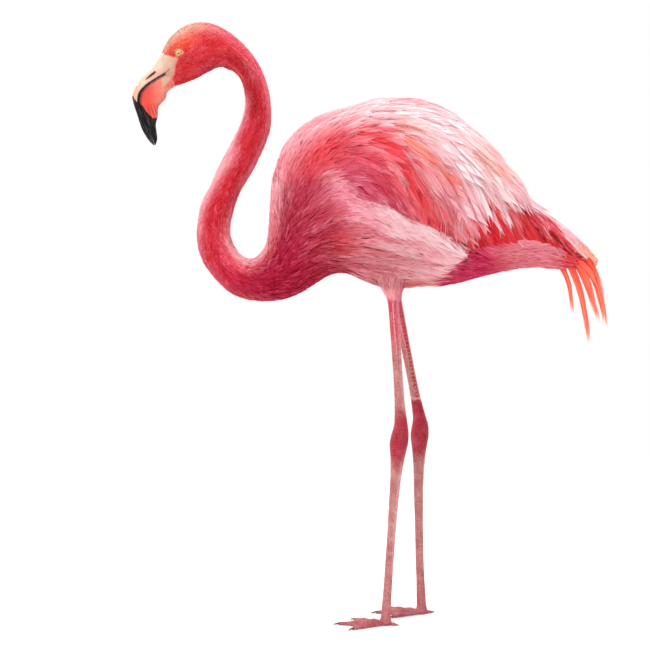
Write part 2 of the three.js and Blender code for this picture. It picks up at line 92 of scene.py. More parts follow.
# One output socket. Arithmetic on it adds Math or Vector Math nodes, and add() adds any other node.
class Wire:
    def __init__(self, tree, socket=None):
        self.tree = tree
        self.socket = socket

    def add(self, kind, settings=None, sockets=None, output=0):
        made = self.tree.nodes.new(kind)
        for name, value in (settings or {}).items():
            if name == "stops":
                ramp = made.color_ramp
                while len(ramp.elements) < len(value):
                    ramp.elements.new(0.5)
                for element, (place, colour) in zip(ramp.elements, value):
                    element.position = place
                    element.color = colour
            else:
                setattr(made, name, value)
        for name, value in (sockets or {}).items():
            target = self.pick(made.inputs, name)
            if isinstance(value, Wire):
                self.tree.links.new(value.socket, target)
            elif target.type == "VECTOR" and isinstance(value, (int, float)):
                target.default_value = (value, value, value)
            else:
                target.default_value = value
        return Wire(self.tree, self.pick(made.outputs, output) if len(made.outputs) else None)

    def pick(self, sockets, name):
        if isinstance(name, int):
            return sockets[name]
        return next(s for s in sockets if s.name == name and not s.is_unavailable)

    def out(self, name):
        return Wire(self.tree, self.pick(self.socket.node.outputs, name))

    def maths(self, operation, *values):
        vector = any(isinstance(v, Wire) and v.socket.type == "VECTOR" for v in values)
        kind = "ShaderNodeVectorMath" if vector else "ShaderNodeMath"
        return self.add(kind, {"operation": operation}, dict(enumerate(values)))

    def __add__(self, other):
        return self.maths("ADD", self, other)

    def __radd__(self, other):
        return self.maths("ADD", other, self)

    def __sub__(self, other):
        return self.maths("SUBTRACT", self, other)

    def __rsub__(self, other):
        return self.maths("SUBTRACT", other, self)

    def __mul__(self, other):
        return self.maths("MULTIPLY", self, other)

    def __rmul__(self, other):
        return self.maths("MULTIPLY", other, self)

    def __truediv__(self, other):
        return self.maths("DIVIDE", self, other)

    def __pow__(self, other):
        return self.maths("POWER", self, other)

    def clamped(self):
        return self.maths("MINIMUM", self.maths("MAXIMUM", self, 0.0), 1.0)

    # 0 below low, 1 above high, smooth between.
    def between(self, low, high):
        return self.add("ShaderNodeMapRange", {"interpolation_type": "SMOOTHSTEP"},
                        {"Value": self, "From Min": low, "From Max": high})

    def mixed(self, share, other, blend="MIX"):
        return self.add("ShaderNodeMix", {"data_type": "RGBA", "blend_type": blend},
                        {0: share, 6: self, 7: other}, output=2)


def newMaterial(name):
    material = bpy.data.materials.new(name)
    material.use_nodes = True
    material.node_tree.nodes.clear()
    return material, Wire(material.node_tree)


def finishMaterial(sheet, sockets):
    surface = sheet.add("ShaderNodeBsdfPrincipled", None, sockets)
    sheet.add("ShaderNodeOutputMaterial", None, {"Surface": surface})


def shade(red, green, blue):
    return (red, green, blue, 1.0)


def objectPlace(sheet):
    return sheet.add("ShaderNodeTexCoord", output="Object")


def readMark(sheet, name, output="Fac"):
    return sheet.add("ShaderNodeAttribute", {"attribute_name": name}, output=output)


def noise(sheet, place, scale, detail):
    return sheet.add("ShaderNodeTexNoise", None, {"Vector": place, "Scale": scale, "Detail": detail})


def gamma(sheet, colour, power):
    return sheet.add("ShaderNodeGamma", None, {"Color": colour, "Gamma": power})


# A colour read from stops of place, red, green and blue.
def ramp(sheet, value, *stops):
    stops = [(place, shade(*colour)) for place, *colour in stops]
    return sheet.add("ShaderNodeValToRGB", {"stops": stops}, {"Fac": value})


def bump(sheet, height, strength, distance):
    return sheet.add("ShaderNodeBump", None, {"Strength": strength, "Distance": distance, "Height": height})


# The backdrop is white to look at, and lights the bird more softly than that.
def setSky():
    world = bpy.data.worlds.new("studioSky")
    world.use_nodes = True
    world.node_tree.nodes.clear()
    sheet = Wire(world.node_tree)
    seen = sheet.add("ShaderNodeLightPath", output="Is Camera Ray")
    strength = seen * (studio["backdrop"] - studio["skyLight"]) + studio["skyLight"]
    sky = sheet.add("ShaderNodeBackground", None, {"Color": shade(1.0, 1.0, 1.0), "Strength": strength})
    sheet.add("ShaderNodeOutputWorld", None, {"Surface": sky})
    scene.world = world
    print("sky: plain white")


setSky()


# Back line x and z, belly line x and z, half width and keel of the body, from brow to wing tips, mm.
bodyTable = np.array([
    (-342, 936, -327, 886, 16, 0), (-335, 952, -317, 887, 20, .05), (-325, 967, -303, 891, 23.5, .05),
    (-302, 985, -283, 899, 26, 0), (-273, 991, -265, 909, 26, 0), (-242, 982, -246, 917, 24, 0),
    (-211, 959, -227, 912, 22.5, 0), (-186, 929, -213, 899, 21.5, 0), (-170, 895, -206, 879, 21, 0),
    (-162, 854, -205, 855, 21, 0), (-164, 816, -213, 824, 21.5, 0), (-177, 780, -230, 791, 22.5, 0),
    (-195, 745, -247, 758, 23.5, 0), (-213, 715, -263, 724, 24.5, 0), (-225, 681, -279, 690, 25.5, 0),
    (-230, 650, -285, 642, 27, 0), (-223, 626, -276, 602, 29, 0), (-212, 611, -256, 573, 32, 0),
    (-199, 605, -227, 547, 37, 0), (-188, 608, -191, 536, 44, 0), (-178, 618, -152, 536, 54, 0),
    (-170, 635, -117, 547, 65, 0), (-165, 668, -87, 565, 78, 0), (-162, 708, -59, 579, 90, .02),
    (-157, 750, -33, 579, 99, .05), (-136, 795, -10, 569, 106, .08), (-101, 829, 13, 559, 111, .1),
    (-53, 851, 35, 554, 115, .1), (-1, 865, 58, 553, 117, .1), (53, 868, 84, 556, 116, .1),
    (110, 857, 115, 558, 112, .1), (163, 820, 148, 563, 104, .08), (209, 775, 183, 573, 93, .05),
    (241, 737, 222, 583, 78, 0), (260, 701, 260, 589, 60, 0), (298, 674, 293, 588, 44, 0),
    (338, 643, 329, 587, 27, 0), (375, 604, 365, 587, 9, 0)], float)


# A smooth curve through equally spaced rows, read at each place.
def smoothAt(table, place):
    table = np.asarray(table, float)
    place = np.asarray(place, float)
    last = len(table) - 1
    i = np.clip(np.floor(place).astype(int), 0, last - 1)
    f = (place - i)[..., None]
    b, c = table[i], table[i + 1]
    a = np.where((i > 0)[..., None], table[np.maximum(i - 1, 0)], 2 * b - c)
    d = np.where((i + 2 <= last)[..., None], table[np.minimum(i + 2, last)], 2 * c - b)
    return b + 0.5 * f * (c - a + f * (2 * a - 5 * b + 4 * c - d + f * (3 * (b - c) + d - a)))


# Angle 0 is the back line and pi the belly line. The left side has negative angles.
def bodyPoint(place, angle, grow=0.0):
    row = smoothAt(bodyTable, place)
    back, belly = row[..., 0:2], row[..., 2:4]
    rise = (back - belly) / 2
    reach = np.linalg.norm(rise, axis=-1)
    height = (reach + grow) * np.cos(angle) / reach
    middle = (back + belly) / 2 + rise * height[..., None]
    across = (row[..., 4] + grow) * np.sin(angle) * (1 + row[..., 5] * np.cos(angle))
    return np.stack([middle[..., 0], across, middle[..., 1]], axis=-1)


def smoothStep(low, high, value):
    share = np.clip((np.asarray(value, float) - low) / (high - low), 0, 1)
    return share * share * (3 - 2 * share)


# How far along a line from start to end a point lies, and how far from it.
def segmentShare(x, z, start, end):
    dx, dz = end[0] - start[0], end[1] - start[1]
    share = np.clip(((x - start[0]) * dx + (z - start[1]) * dz) / (dx * dx + dz * dz), 0, 1)
    return share, np.hypot(x - start[0] - share * dx, z - start[1] - share * dz)


# 1 in the middle of a soft spot, falling to 0 over its half sizes.
def spotAt(x, z, middle, half):
    return np.exp(-((x - middle[0]) / half[0]) ** 2 - ((z - middle[1]) / half[1]) ** 2)


def unit(vectors):
    return vectors / np.maximum(np.linalg.norm(vectors, axis=-1, keepdims=True), 1e-9)


# The crease where the wing meets the flank, and the flank's rear edge, on the body's side.
wingLine = np.array([(-90, 752), (-53, 738), (-22, 714), (41, 691), (102, 660), (136, 636), (163, 615),
                     (200, 592)], float)
rearEdge = {"x": 160.0, "z": 624.0, "along": (-0.70, -0.714)}


def belowWing(points):
    return -above(points, wingLine)


def behindFlank(points):
    alongX, alongZ = rearEdge["along"]
    return -(points[..., 0] - rearEdge["x"]) * alongZ + (points[..., 2] - rearEdge["z"]) * alongX


# The line under the topmost flight feathers, where a shadow is painted, and the upper edge of the undertail, in x and
# z.
tertialLine = np.array([(219, 724), (230, 714), (258, 686), (275, 667), (304, 637), (334, 608), (375, 572)], float)
ventLine = np.array([(150, 629), (163, 633), (196, 636), (228, 643), (261, 638), (291, 632), (314, 620),
                     (375, 600)], float)


# How far points lie above a line of x and z.
def above(points, line):
    return points[..., 2] - np.interp(points[..., 0], line[:, 0], line[:, 1])


# How far the feathers swell over the line between flank and wing, and the wing sinks above it, mm.
def sideRelief(points):
    x = points[..., 0]
    below = belowWing(points)
    behind = behindFlank(points)
    swell = np.clip(below / 5, 0, 1) * (1 - smoothStep(25, 115, below)) * smoothStep(-70, 0, x)
    swell *= 1 - np.clip((behind + 2) / 6, 0, 1)
    sink = np.exp(-(np.maximum(-below, 0) / 10) ** 2) * (below < 0) * smoothStep(-10, 50, x)
    sink *= 1 - smoothStep(150, 210, x)
    tuck = np.exp(-(np.maximum(behind, 0) / 14) ** 2) * (behind > 0) * (below > 0)
    overVent = above(points, ventLine)
    vent = smoothStep(2, -3, overVent) * smoothStep(-60, -10, overVent)
    vent = vent * smoothStep(170, 200, x) * smoothStep(340, 300, x)
    tertial = smoothStep(-1.5, 1.5, above(points, tertialLine)) * smoothStep(222, 245, x)
    side = smoothStep(15, 60, np.abs(points[..., 1]))
    parting = np.exp(-(points[..., 1] / 9) ** 2) * smoothStep(-110, -20, x)
    return (9.0 * swell - 4.0 * sink - 4.0 * tuck) * side + 3.0 * vent + 2.5 * tertial - 3.0 * parting


def coatDepth(place):
    return np.interp(place, [0, 3, 5, 18, 22, 26, 32, 37], [1.2, 2.0, 2.4, 3.0, 4.5, 7.0, 8.0, 4.0])


def makeMesh(name, points, faces, material=None, smooth=True):
    mesh = bpy.data.meshes.new(name)
    points = np.asarray(points, float).reshape(-1, 3) * mm
    mesh.from_pydata(points.tolist(), [], [list(map(int, face)) for face in faces])
    mesh.polygons.foreach_set("use_smooth", [smooth] * len(mesh.polygons))
    if material:
        mesh.materials.append(material)
    piece = bpy.data.objects.new(name, mesh)
    scene.collection.objects.link(piece)
    return piece


def gridFaces(rows, columns, wrap=False):
    wide = columns if wrap else columns - 1
    r, c = np.meshgrid(np.arange(rows - 1), np.arange(wide), indexing="ij")
    a = (r * columns + c).ravel()
    b = (r * columns + (c + 1) % columns).ravel()
    return np.stack([a, b, b + columns, a + columns], axis=-1).tolist()


# Rings of points closed by a fan at either end.
def tube(rings):
    rings = np.asarray(rings, float)
    rows, columns, _ = rings.shape
    points = np.concatenate([rings.reshape(-1, 3), [rings[0].mean(axis=0)], [rings[-1].mean(axis=0)]])
    faces = gridFaces(rows, columns, wrap=True)
    first, last = rows * columns, rows * columns + 1
    for c in range(columns):
        n = (c + 1) % columns
        faces.append([first, n, c])
        faces.append([last, (rows - 1) * columns + c, (rows - 1) * columns + n])
    return points, faces


# Several shapes of rings as one list of points and faces.
def gathered(shapes):
    points, faces, count = [], [], 0
    for rings in shapes:
        ringPoints, ringFaces = tube(rings)
        points.append(ringPoints)
        faces += [[i + count for i in face] for face in ringFaces]
        count += len(ringPoints)
    return np.concatenate(points), faces


def turnOutward(piece):
    shape = bmesh.new()
    shape.from_mesh(piece.data)
    bmesh.ops.remove_doubles(shape, verts=shape.verts, dist=1e-6)
    bmesh.ops.recalc_face_normals(shape, faces=shape.faces)
    shape.to_mesh(piece.data)
    shape.free()
    piece.data.polygons.foreach_set("use_smooth", [True] * len(piece.data.polygons))
    return piece


# A plain mesh of a piece as its modifiers leave it.
def evaluatedMesh(piece):
    graph = bpy.context.evaluated_depsgraph_get()
    return bpy.data.meshes.new_from_object(piece.evaluated_get(graph), preserve_all_data_layers=True, depsgraph=graph)


def applyModifiers(piece):
    old, mesh = piece.data, evaluatedMesh(piece)
    piece.modifiers.clear()
    piece.data = mesh
    bpy.data.meshes.remove(old)


def pointsOf(piece):
    values = np.zeros(len(piece.data.vertices) * 3)
    piece.data.vertices.foreach_get("co", values)
    return values.reshape(-1, 3) / mm


# Keeps one number, vector or colour for each point of a mesh.
def setAttribute(mesh, name, kind, values):
    attribute = mesh.attributes.new(name, kind, "POINT")
    values = np.asarray(values, np.float32)
    if kind == "FLOAT_COLOR":
        values = np.concatenate([values, np.ones_like(values[..., :1])], axis=-1)
    field = {"FLOAT": "value", "FLOAT_VECTOR": "vector", "FLOAT_COLOR": "color"}[kind]
    attribute.data.foreach_set(field, values.ravel())


# Hands over a finished piece: it rides on the one body and stands for these nodes.
def settle(piece, slot, *nodes):
    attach(piece, "root")
    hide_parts(*nodes)
    piece.data.calc_loop_triangles()
    print(piece.name + ":", len(piece.data.loop_triangles), "triangles")


# The plumage, the skin and the bill take all their colours from these.
tones = {
    "crimson": (0.64, 0.008, 0.024), "scarlet": (0.74, 0.026, 0.038), "wine": (0.51, 0.004, 0.040),
    "rose": (0.76, 0.085, 0.135), "pink": (0.86, 0.27, 0.33), "blush": (0.94, 0.58, 0.61),
    "white": (0.93, 0.765, 0.785), "coral": (0.80, 0.050, 0.066), "orange": (0.90, 0.115, 0.045),
    "peach": (0.97, 0.50, 0.36), "lilac": (0.62, 0.060, 0.130), "magenta": (0.64, 0.012, 0.080),
    # The darkened pink in this row is painted shade for the underside of the body and the cuff tops.
    "shadedPink": (0.56, 0.14, 0.16), "bare": (0.54, 0.33, 0.22), "cream": (0.73, 0.53, 0.40),
    "leg": (0.56, 0.235, 0.215), "joint": (0.44, 0.022, 0.046), "toe": (0.52, 0.15, 0.16),
    "blood": (0.45, 0.006, 0.008), "orchid": (0.85, 0.23, 0.36),
}
tones = {name: np.array(colour) for name, colour in tones.items()}

# Soft patches of colour on the body's side: x, z, half length, half height, tilt down to the rear,
# tone and strength, laid over each other in this order.
bodyPatches = [
    (60, 625, 135, 72, 20, "pink", 0.95),
    (130, 615, 60, 42, 30, "blush", 0.6),
    (-56, 733, 24, 15, 30, "blush", 0.7),
    (14, 695, 50, 13, 26, "blush", 0.85),
    # These two white patches are the flank's pale top, partly painted highlight.
    (62, 664, 105, 15, 24, "white", 0.8),
    (118, 627, 46, 14, 32, "white", 0.5),
    # Painted shade: darker pink on the lower flank and belly.
    (4, 632, 80, 24, 16, "shadedPink", 0.5),
    (20, 598, 80, 16, 8, "shadedPink", 0.6),
    (90, 590, 50, 14, 12, "blush", 0.6),
    (40, 567, 110, 15, 2, "shadedPink", 0.55),
    (30, 556, 60, 6, 0, "peach", 0.35),
    (84, 572, 60, 11, 6, "peach", 0.3),
    (-35, 708, 52, 24, 28, "orchid", 0.7),
    # A painted highlight on the flank.
    (35, 650, 28, 7, 16, "white", 0.7),
    (-18, 640, 50, 11, 18, "rose", 0.35),
    (88, 612, 26, 4, 30, "rose", 0.7),
    (-76, 664, 30, 36, 40, "wine", 0.7),
    (-48, 634, 30, 20, 20, "crimson", 0.6),
    (-90, 736, 24, 22, 50, "wine", 0.6),
    (-105, 800, 90, 40, -45, "rose", 0.7),
    (-80, 800, 62, 24, -34, "coral", 0.75),
    (-84, 768, 50, 18, -42, "coral", 0.8),
    (-116, 792, 82, 17, -44, "pink", 0.85),
    (-122, 802, 82, 13, -44, "blush", 0.7),
    (-60, 838, 75, 14, -28, "pink", 0.85),
    (-44, 840, 74, 17, -24, "blush", 0.9),
    (-10, 803, 60, 22, 15, "rose", 0.7),
    (-18, 814, 32, 12, 18, "pink", 0.85),
    (-12, 818, 26, 7, 18, "blush", 0.5),
    (0, 858, 90, 16, -4, "white", 0.85),
    (0, 745, 50, 26, 45, "rose", 0.8),
    (-58, 744, 22, 10, 0, "pink", 0.6),
    # Lilac and magenta in the hollow above the wing's front, partly painted shade.
    (-12, 732, 38, 17, 46, "lilac", 1.0),
    (-16, 727, 24, 11, 38, "magenta", 0.6),
    (-34, 741, 22, 11, 48, "lilac", 0.9),
    (8, 792, 28, 10, 30, "pink", 0.95),
    (22, 742, 48, 8, 52, "rose", 0.8),
    (50, 700, 60, 22, 35, "rose", 0.8),
    (26, 722, 40, 15, 50, "wine", 0.6),
    (20, 764, 34, 6, 48, "crimson", 0.5),
    (42, 758, 26, 8, 52, "crimson", 0.7),
    (90, 690, 60, 20, 45, "coral", 0.5),
    (6, 688, 40, 8, 24, "blush", 0.7),
]
# The dark patches on the neck's inner curve are painted shade.
neckPatches = [
    (-222, 924, 30, 9, 38, "blood", 0.9),
    (-205, 905, 34, 15, 54, "blood", 0.9),
    (-206, 924, 20, 10, 45, "blood", 0.9),
    (-195, 905, 18, 10, 68, "blood", 0.5),
    (-190, 866, 38, 11, 80, "blood", 0.9),
    (-212, 770, 60, 9, 118, "scarlet", 0.5),
]
# The cream patches along the crown are partly painted highlight.
headPatches = [
    (-303, 962, 16, 34, 10, "scarlet", 0.9),
    (-308, 957, 24, 13, -15, "orange", 0.75),
    (-323, 958, 24, 19, -40, "orange", 0.95),
    (-318, 972, 30, 10, -42, "cream", 0.6),
    (-292, 988, 34, 8, -12, "cream", 0.75),
    (-302, 934, 15, 10, 20, "blood", 0.3),
]
# The bright band from the top of the shoulder to the wing's lower rear.
brightBand = np.array([(-14, 819), (17, 810), (39, 783), (57, 759), (72, 735), (84, 710), (100, 680),
                       (120, 645)], float)
# Patches among the pale feathers that droop over the wing.
wingPatches = [
    (66, 806, 28, 11, 38, "coral", 0.75),
    (74, 777, 20, 11, 60, "rose", 0.85),
    (62, 824, 26, 7, 30, "peach", 0.5),
    (96, 775, 24, 9, 58, "orange", 0.7),
    (108, 727, 28, 13, 62, "pink", 0.75),
    (91, 758, 18, 10, 55, "coral", 0.85),
    (125, 738, 30, 7, 60, "orange", 0.95),
    (80, 716, 24, 7, 72, "coral", 0.85),
    (48, 742, 28, 5, 55, "blush", 0.7),
    (99, 676, 30, 16, 45, "coral", 0.45),
    (129, 682, 30, 12, 68, "rose", 0.7),
    (232, 712, 14, 5, 45, "rose", 0.7),
    (158, 695, 26, 11, 65, "pink", 0.7),
    (147, 696, 38, 6, 78, "white", 0.8),
    (160, 672, 22, 11, 62, "pink", 0.95),
    (164, 676, 24, 14, 70, "rose", 0.45),
    (162, 642, 24, 13, 30, "crimson", 0.65),
    (148, 742, 28, 6, 58, "rose", 0.6),
    (172, 662, 30, 18, 70, "pink", 0.85),
    (196, 762, 38, 13, 40, "peach", 0.75),
    (220, 678, 24, 6, 80, "coral", 0.95),
    (-27, 803, 20, 11, 25, "pink", 0.6),
    (7, 788, 18, 8, 32, "pink", 0.45),
    (140, 722, 15, 8, 62, "pink", 0.5),
    (206, 697, 14, 9, 70, "white", 0.6),
    (160, 670, 16, 8, 66, "rose", 0.3),
]


# Above 0 on the rear side of the band.
def bandDistance(x, z):
    best = np.full(np.shape(x), 1e9)
    side = np.zeros(np.shape(x))
    for start, end in zip(brightBand[:-1], brightBand[1:]):
        far = segmentShare(x, z, start, end)[1]
        nearer = far < best
        best = np.where(nearer, far, best)
        dx, dz = end - start
        side = np.where(nearer, np.sign((z - start[1]) * dx - (x - start[0]) * dz), side)
    return best * side


def rampTones(value, stops):
    places = [place for place, _ in stops]
    return np.stack([np.interp(value, places, [tones[tone][k] for _, tone in stops]) for k in range(3)], axis=-1)


def mixColour(colour, other, share):
    share = np.asarray(share)[..., None]
    return colour * (1 - share) + other * share


# Lays tones over a colour one after another, each with its own share.
def layTones(colour, *layers):
    for tone, share in layers:
        colour = mixColour(colour, tones[tone], np.clip(share, 0, 1))
    return colour


# Takes a share of red, green and blue out of a colour.
def dimmed(colour, losses, share):
    return colour * (1 - np.array(losses) * share[..., None])


def plain(tone, shape):
    return np.tile(tones[tone], tuple(shape) + (1,))


def layPatches(colour, patches, x, z, share):
    for px, pz, longHalf, highHalf, tilt, tone, strength in patches:
        c, s = math.cos(math.radians(tilt)), math.sin(math.radians(tilt))
        u = ((x - px) * c - (z - pz) * s) / longHalf
        w = ((x - px) * s + (z - pz) * c) / highHalf
        colour = layTones(colour, (tone, share * strength * np.exp(-(u * u + w * w) ** 1.3)))
    return colour


# The head and neck: deep red, with a paler throat and nape and a peach crown. Rose and pink towards the neck's front
# and back edges are painted rim highlight, and the pale throat and nape bands and the crown's cream rim are partly
# painted rim highlight.
def neckMarks(colour, points, place):
    x, z = points[..., 0], points[..., 2]
    colour = layPatches(colour, headPatches, x, z, smoothStep(5.0, 4.0, place))
    colour = layPatches(colour, neckPatches, x, z, smoothStep(3.5, 4.5, place) * smoothStep(16, 13, place))
    row = smoothAt(bodyTable, np.clip(place, 0, 37))
    # Where the neck turns away from the side view: rose and pink are painted there as rim highlight.
    edge = smoothStep(0.92, 0.45, np.abs(points[..., 1]) / row[..., 4])
    upper = z > (row[..., 1] + row[..., 3]) / 2
    back, belly = row[..., 0:2], row[..., 2:4]
    side = np.stack([x, z], axis=-1) - back
    span = np.linalg.norm(belly - back, axis=-1)
    fromBack = np.sum(side * (belly - back), axis=-1) / span
    throat = smoothStep(7.4, 9.0, place) * smoothStep(15.6, 13.2, place)
    wide = 0.45 + 1.05 * smoothStep(10.2, 11.2, place) - 0.5 * smoothStep(11.5, 12.8, place)
    fromThroat = (span - fromBack) / wide
    behindEye = smoothStep(2.5, 3.5, place) * smoothStep(9, 7, place)
    chin = smoothStep(3.0, 4.2, place) * smoothStep(8.8, 7.6, place) * smoothStep(0.55, 0.8, fromBack / span)
    nape = smoothStep(13.5, 16.0, place)
    # The throat and nape bands and the crown's peach and cream rim are partly painted rim highlight.
    colour = layTones(
        colour,
        ("rose", 0.85 * edge * smoothStep(2.5, 4.0, place) * smoothStep(20, 18, place)),
        ("pink", 0.55 * edge ** 2 * smoothStep(3.5, 5.0, place) * smoothStep(17, 14, place)),
        ("rose", 0.75 * throat * smoothStep(24, 10, fromThroat)),
        ("pink", 0.55 * throat * smoothStep(18, 7, fromThroat)),
        ("blush", 0.80 * throat * smoothStep(12, 2, fromThroat)),
        ("rose", 0.60 * behindEye * smoothStep(26, 12, fromBack)),
        ("crimson", 0.75 * chin),
        ("rose", 0.80 * nape * smoothStep(30, 12, fromBack)),
        ("pink", 0.80 * nape * smoothStep(18, 6, fromBack)),
        ("blush", 0.78 * nape * smoothStep(12, 3, fromBack)),
        ("peach", 0.80 * edge * upper * smoothStep(5.6, 3.0, place)),
        ("cream", 0.60 * edge ** 2 * upper * smoothStep(4.6, 3.0, place)))
    return colour, edge


# The undertail: magenta to rose with a pale fringe along its upper edge.
def ventMarks(x, z, overVent):
    fringe = smoothStep(200, 235, x) * smoothStep(322, 300, x)
    under = rampTones(x, [(120, "magenta"), (185, "magenta"), (215, "rose"), (298, "rose"), (318, "coral")])
    return layTones(
        under,
        ("pink", 0.65 * smoothStep(200, 240, x) * smoothStep(325, 305, x)),
        ("pink", 0.8 * spotAt(x, z, (270, 611), (28, 12))),
        ("pink", 0.7 * smoothStep(-9, -2, overVent) * fringe),
        ("blush", 0.6 * smoothStep(-4, 0, overVent) * fringe),
        ("pink", 0.5 * smoothStep(-28, -44, overVent) * smoothStep(215, 245, x)))


# The lower edge of the pale feathers over the red flight feathers, x and z.
quillLine = ([112, 124, 145, 165, 185, 200, 206, 214, 224, 230, 238, 250, 262],
             [600, 632, 646, 650, 642, 648, 660, 690, 690, 664, 662, 684, 716])


# The two colours that run in streaks along the feathers, and the plain one, at points of the body.
def plumageMarks(points, place):
    x, z = points[..., 0], points[..., 2]
    colour = rampTones(place, [(0, "scarlet"), (5, "scarlet"), (8, "crimson"), (15, "crimson"),
                               (19, "wine"), (26, "wine")])
    colour, edge = neckMarks(colour, points, place)
    body = smoothStep(20.5, 22.5, place)
    # Pink and blush painted as rim highlight down the breast's front edge.
    front = edge * smoothStep(18.5, 21.0, place) * smoothStep(605, 650, z)
    colour = layTones(
        colour,
        ("rose", body * smoothStep(-92, -34, x + 0.5 * (z - 690))),
        ("pink", 0.9 * front),
        ("blush", 0.8 * front ** 2 * smoothStep(640, 720, z)))
    colour = layPatches(colour, bodyPatches, x, z, body)
    below, behind, overVent = belowWing(points), behindFlank(points), above(points, ventLine)
    vent = smoothStep(0, 6, behind) * smoothStep(2, -3, overVent) * smoothStep(90, 110, x)
    wing = smoothStep(4, -4, below) * smoothStep(-60, -20, x) * (1 - vent)
    band = bandDistance(x, z)
    rear = wing * smoothStep(4, 26, band) * smoothStep(-40, 0, x)
    low = smoothStep(75, 8, -below) * wing * smoothStep(50, 100, x)
    # The same hollow: its feathers pale less and take no coral, which keeps the painted shade there.
    pocket = np.exp(-(((x + 18) / 46) ** 2 + ((z - 745) / 30) ** 2) ** 1.5)
    quilled = wing * smoothStep(6, -6, z - np.interp(x, *quillLine))
    brightness = wing * np.exp(-(band / 14) ** 2) * smoothStep(-26, -2, x)
    colour = layTones(
        colour,
        # Painted highlight along the top of the flank's swell, just under the wing's line.
        ("white", 0.65 * body * smoothStep(0, 3, below) * smoothStep(20, 9, below) * smoothStep(-15, 20, x)),
        ("white", 0.96 * rear),
        ("pink", 0.85 * low * smoothStep(14, 34, band)),
        ("coral", 0.85 * brightness))
    colour = layPatches(colour, wingPatches, x, z, wing)
    colour = layTones(colour, ("scarlet", quilled))
    colour = mixColour(colour, ventMarks(x, z, overVent), vent)
    # Pinker and less pale down the middle of the back: painted shade against the strong light from above.
    centre = rear * smoothStep(66, 26, np.abs(points[..., 1])) * (1 - quilled)
    colour = layTones(colour, ("peach", smoothStep(35.9, 36.5, place)), ("blush", 0.42 * centre))
    # Painted shade: the colour is darkened in the crease where the wing meets the flank.
    crease = np.exp(-((-below - 3) / 9) ** 2) * smoothStep(5, 50, x) * smoothStep(142, 64, x) * (below < 1)
    colour = dimmed(colour, (0.30, 0.65, 0.55), crease)
    vivid = smoothStep(0.45, 0.15, colour[..., 1])
    paler = wing * (1 - 0.85 * pocket) * (1 - quilled) * (1 - 0.7 * vivid) * (1 - 0.6 * centre)
    pale = layTones(
        colour ** 0.66 * 0.95 + tones["blush"] * 0.05,
        ("white", 0.7 * body * paler),
        ("white", 0.5 * body * smoothStep(0, 8, below) * smoothStep(-60, 0, x) * (1 - vent)))
    deep = layTones(
        colour * np.array([0.86, 0.62, 0.64]),
        ("coral", 0.8 * wing * smoothStep(45, 5, np.abs(band)) * (1 - pocket)),
        ("rose", 0.55 * wing * smoothStep(16, 40, band)),
        ("pink", 0.6 * wing * smoothStep(35, 70, band) * (1 - quilled)))
    return colour, pale, deep


# Which way the feathers lie on the body's side: x, z and degrees down towards the rear.
lies = np.array([
    (-150, 731, -80), (-118, 689, -50), (-106, 622, -35), (-74, 579, -8), (-63, 668, -25), (-42, 635, -5),
    (-20, 690, 14), (44, 657, 14), (97, 615, 26), (44, 603, 14), (1, 591, 5), (86, 668, 26),
    (-42, 732, 24), (-130, 769, -65), (-106, 805, -50), (-74, 828, -32), (-31, 855, -12), (13, 869, 0),
    (-106, 774, -52), (-85, 799, -35), (-52, 810, -4), (-20, 820, 12), (12, 826, 20), (44, 799, 42),
    (55, 754, 64), (64, 700, 62), (-85, 762, -20), (-52, 770, 2), (-20, 762, 36), (0, 732, 52),
    (23, 711, 50), (-20, 795, 12), (12, 774, 44), (32, 732, 58), (87, 817, 36), (96, 785, 62),
    (107, 754, 68), (67, 863, 4), (110, 855, 13), (128, 827, 27), (168, 795, 38), (208, 768, 42),
    (236, 733, 46), (99, 815, 42), (138, 788, 50), (133, 749, 66), (138, 697, 70), (178, 709, 62),
    (192, 668, 68), (166, 656, 66), (206, 735, 50), (234, 694, 54), (212, 667, 64), (97, 736, 70),
    (110, 684, 60), (133, 652, 50), (263, 688, 43), (304, 652, 42), (347, 610, 40), (125, 631, 25),
    (151, 624, 30), (112, 590, 26), (86, 590, 20), (168, 601, -20), (207, 618, -10), (235, 613, 2),
    (278, 611, 6), (209, 596, -8), (60, 570, 5), (130, 575, -5)], float)


# The lie at points of the body, level with the skin. The neck's feathers lie straight along it.
def lieOf(points, outward, along, place):
    x, z = points[..., 0], points[..., 2]
    total = np.zeros(np.shape(x) + (2,))
    for lx, lz, degrees in lies:
        weight = np.exp(-((x - lx) ** 2 + (z - lz) ** 2) / (2 * 24.0 ** 2)) + 1e-9
        turn = math.radians(degrees)
        total += weight[..., None] * np.array([math.cos(turn), -math.sin(turn)])
    total = unit(total)
    field = np.stack([total[..., 0], np.zeros(np.shape(x)), total[..., 1]], axis=-1)
    share = smoothStep(20.5, 23.0, place)[..., None]
    lie = unit(along) * (1 - share) + field * share
    lie -= outward * np.sum(lie * outward, axis=-1, keepdims=True)
    return unit(lie)


skinLook = {"bodyRows": 430, "bodySides": 96, "legSides": 40, "legStep": 1.2, "footVoxel": 1.1}
# Each leg's side, and the height and x of its middle from the sole up.
legCourses = {
    "left": (-1, [(0, 25.5), (90, 31), (210, 39), (276, 44.5), (303, 46.5), (333, 50.5), (372, 48), (541, 37),
                  (600, 34)]),
    "right": (1, [(0, 89.5), (90, 85.5), (210, 83), (276, 83.5), (303, 84), (328, 85.5), (361, 79), (541, 43),
                  (600, 34)]),
}
legSpread = 40.0
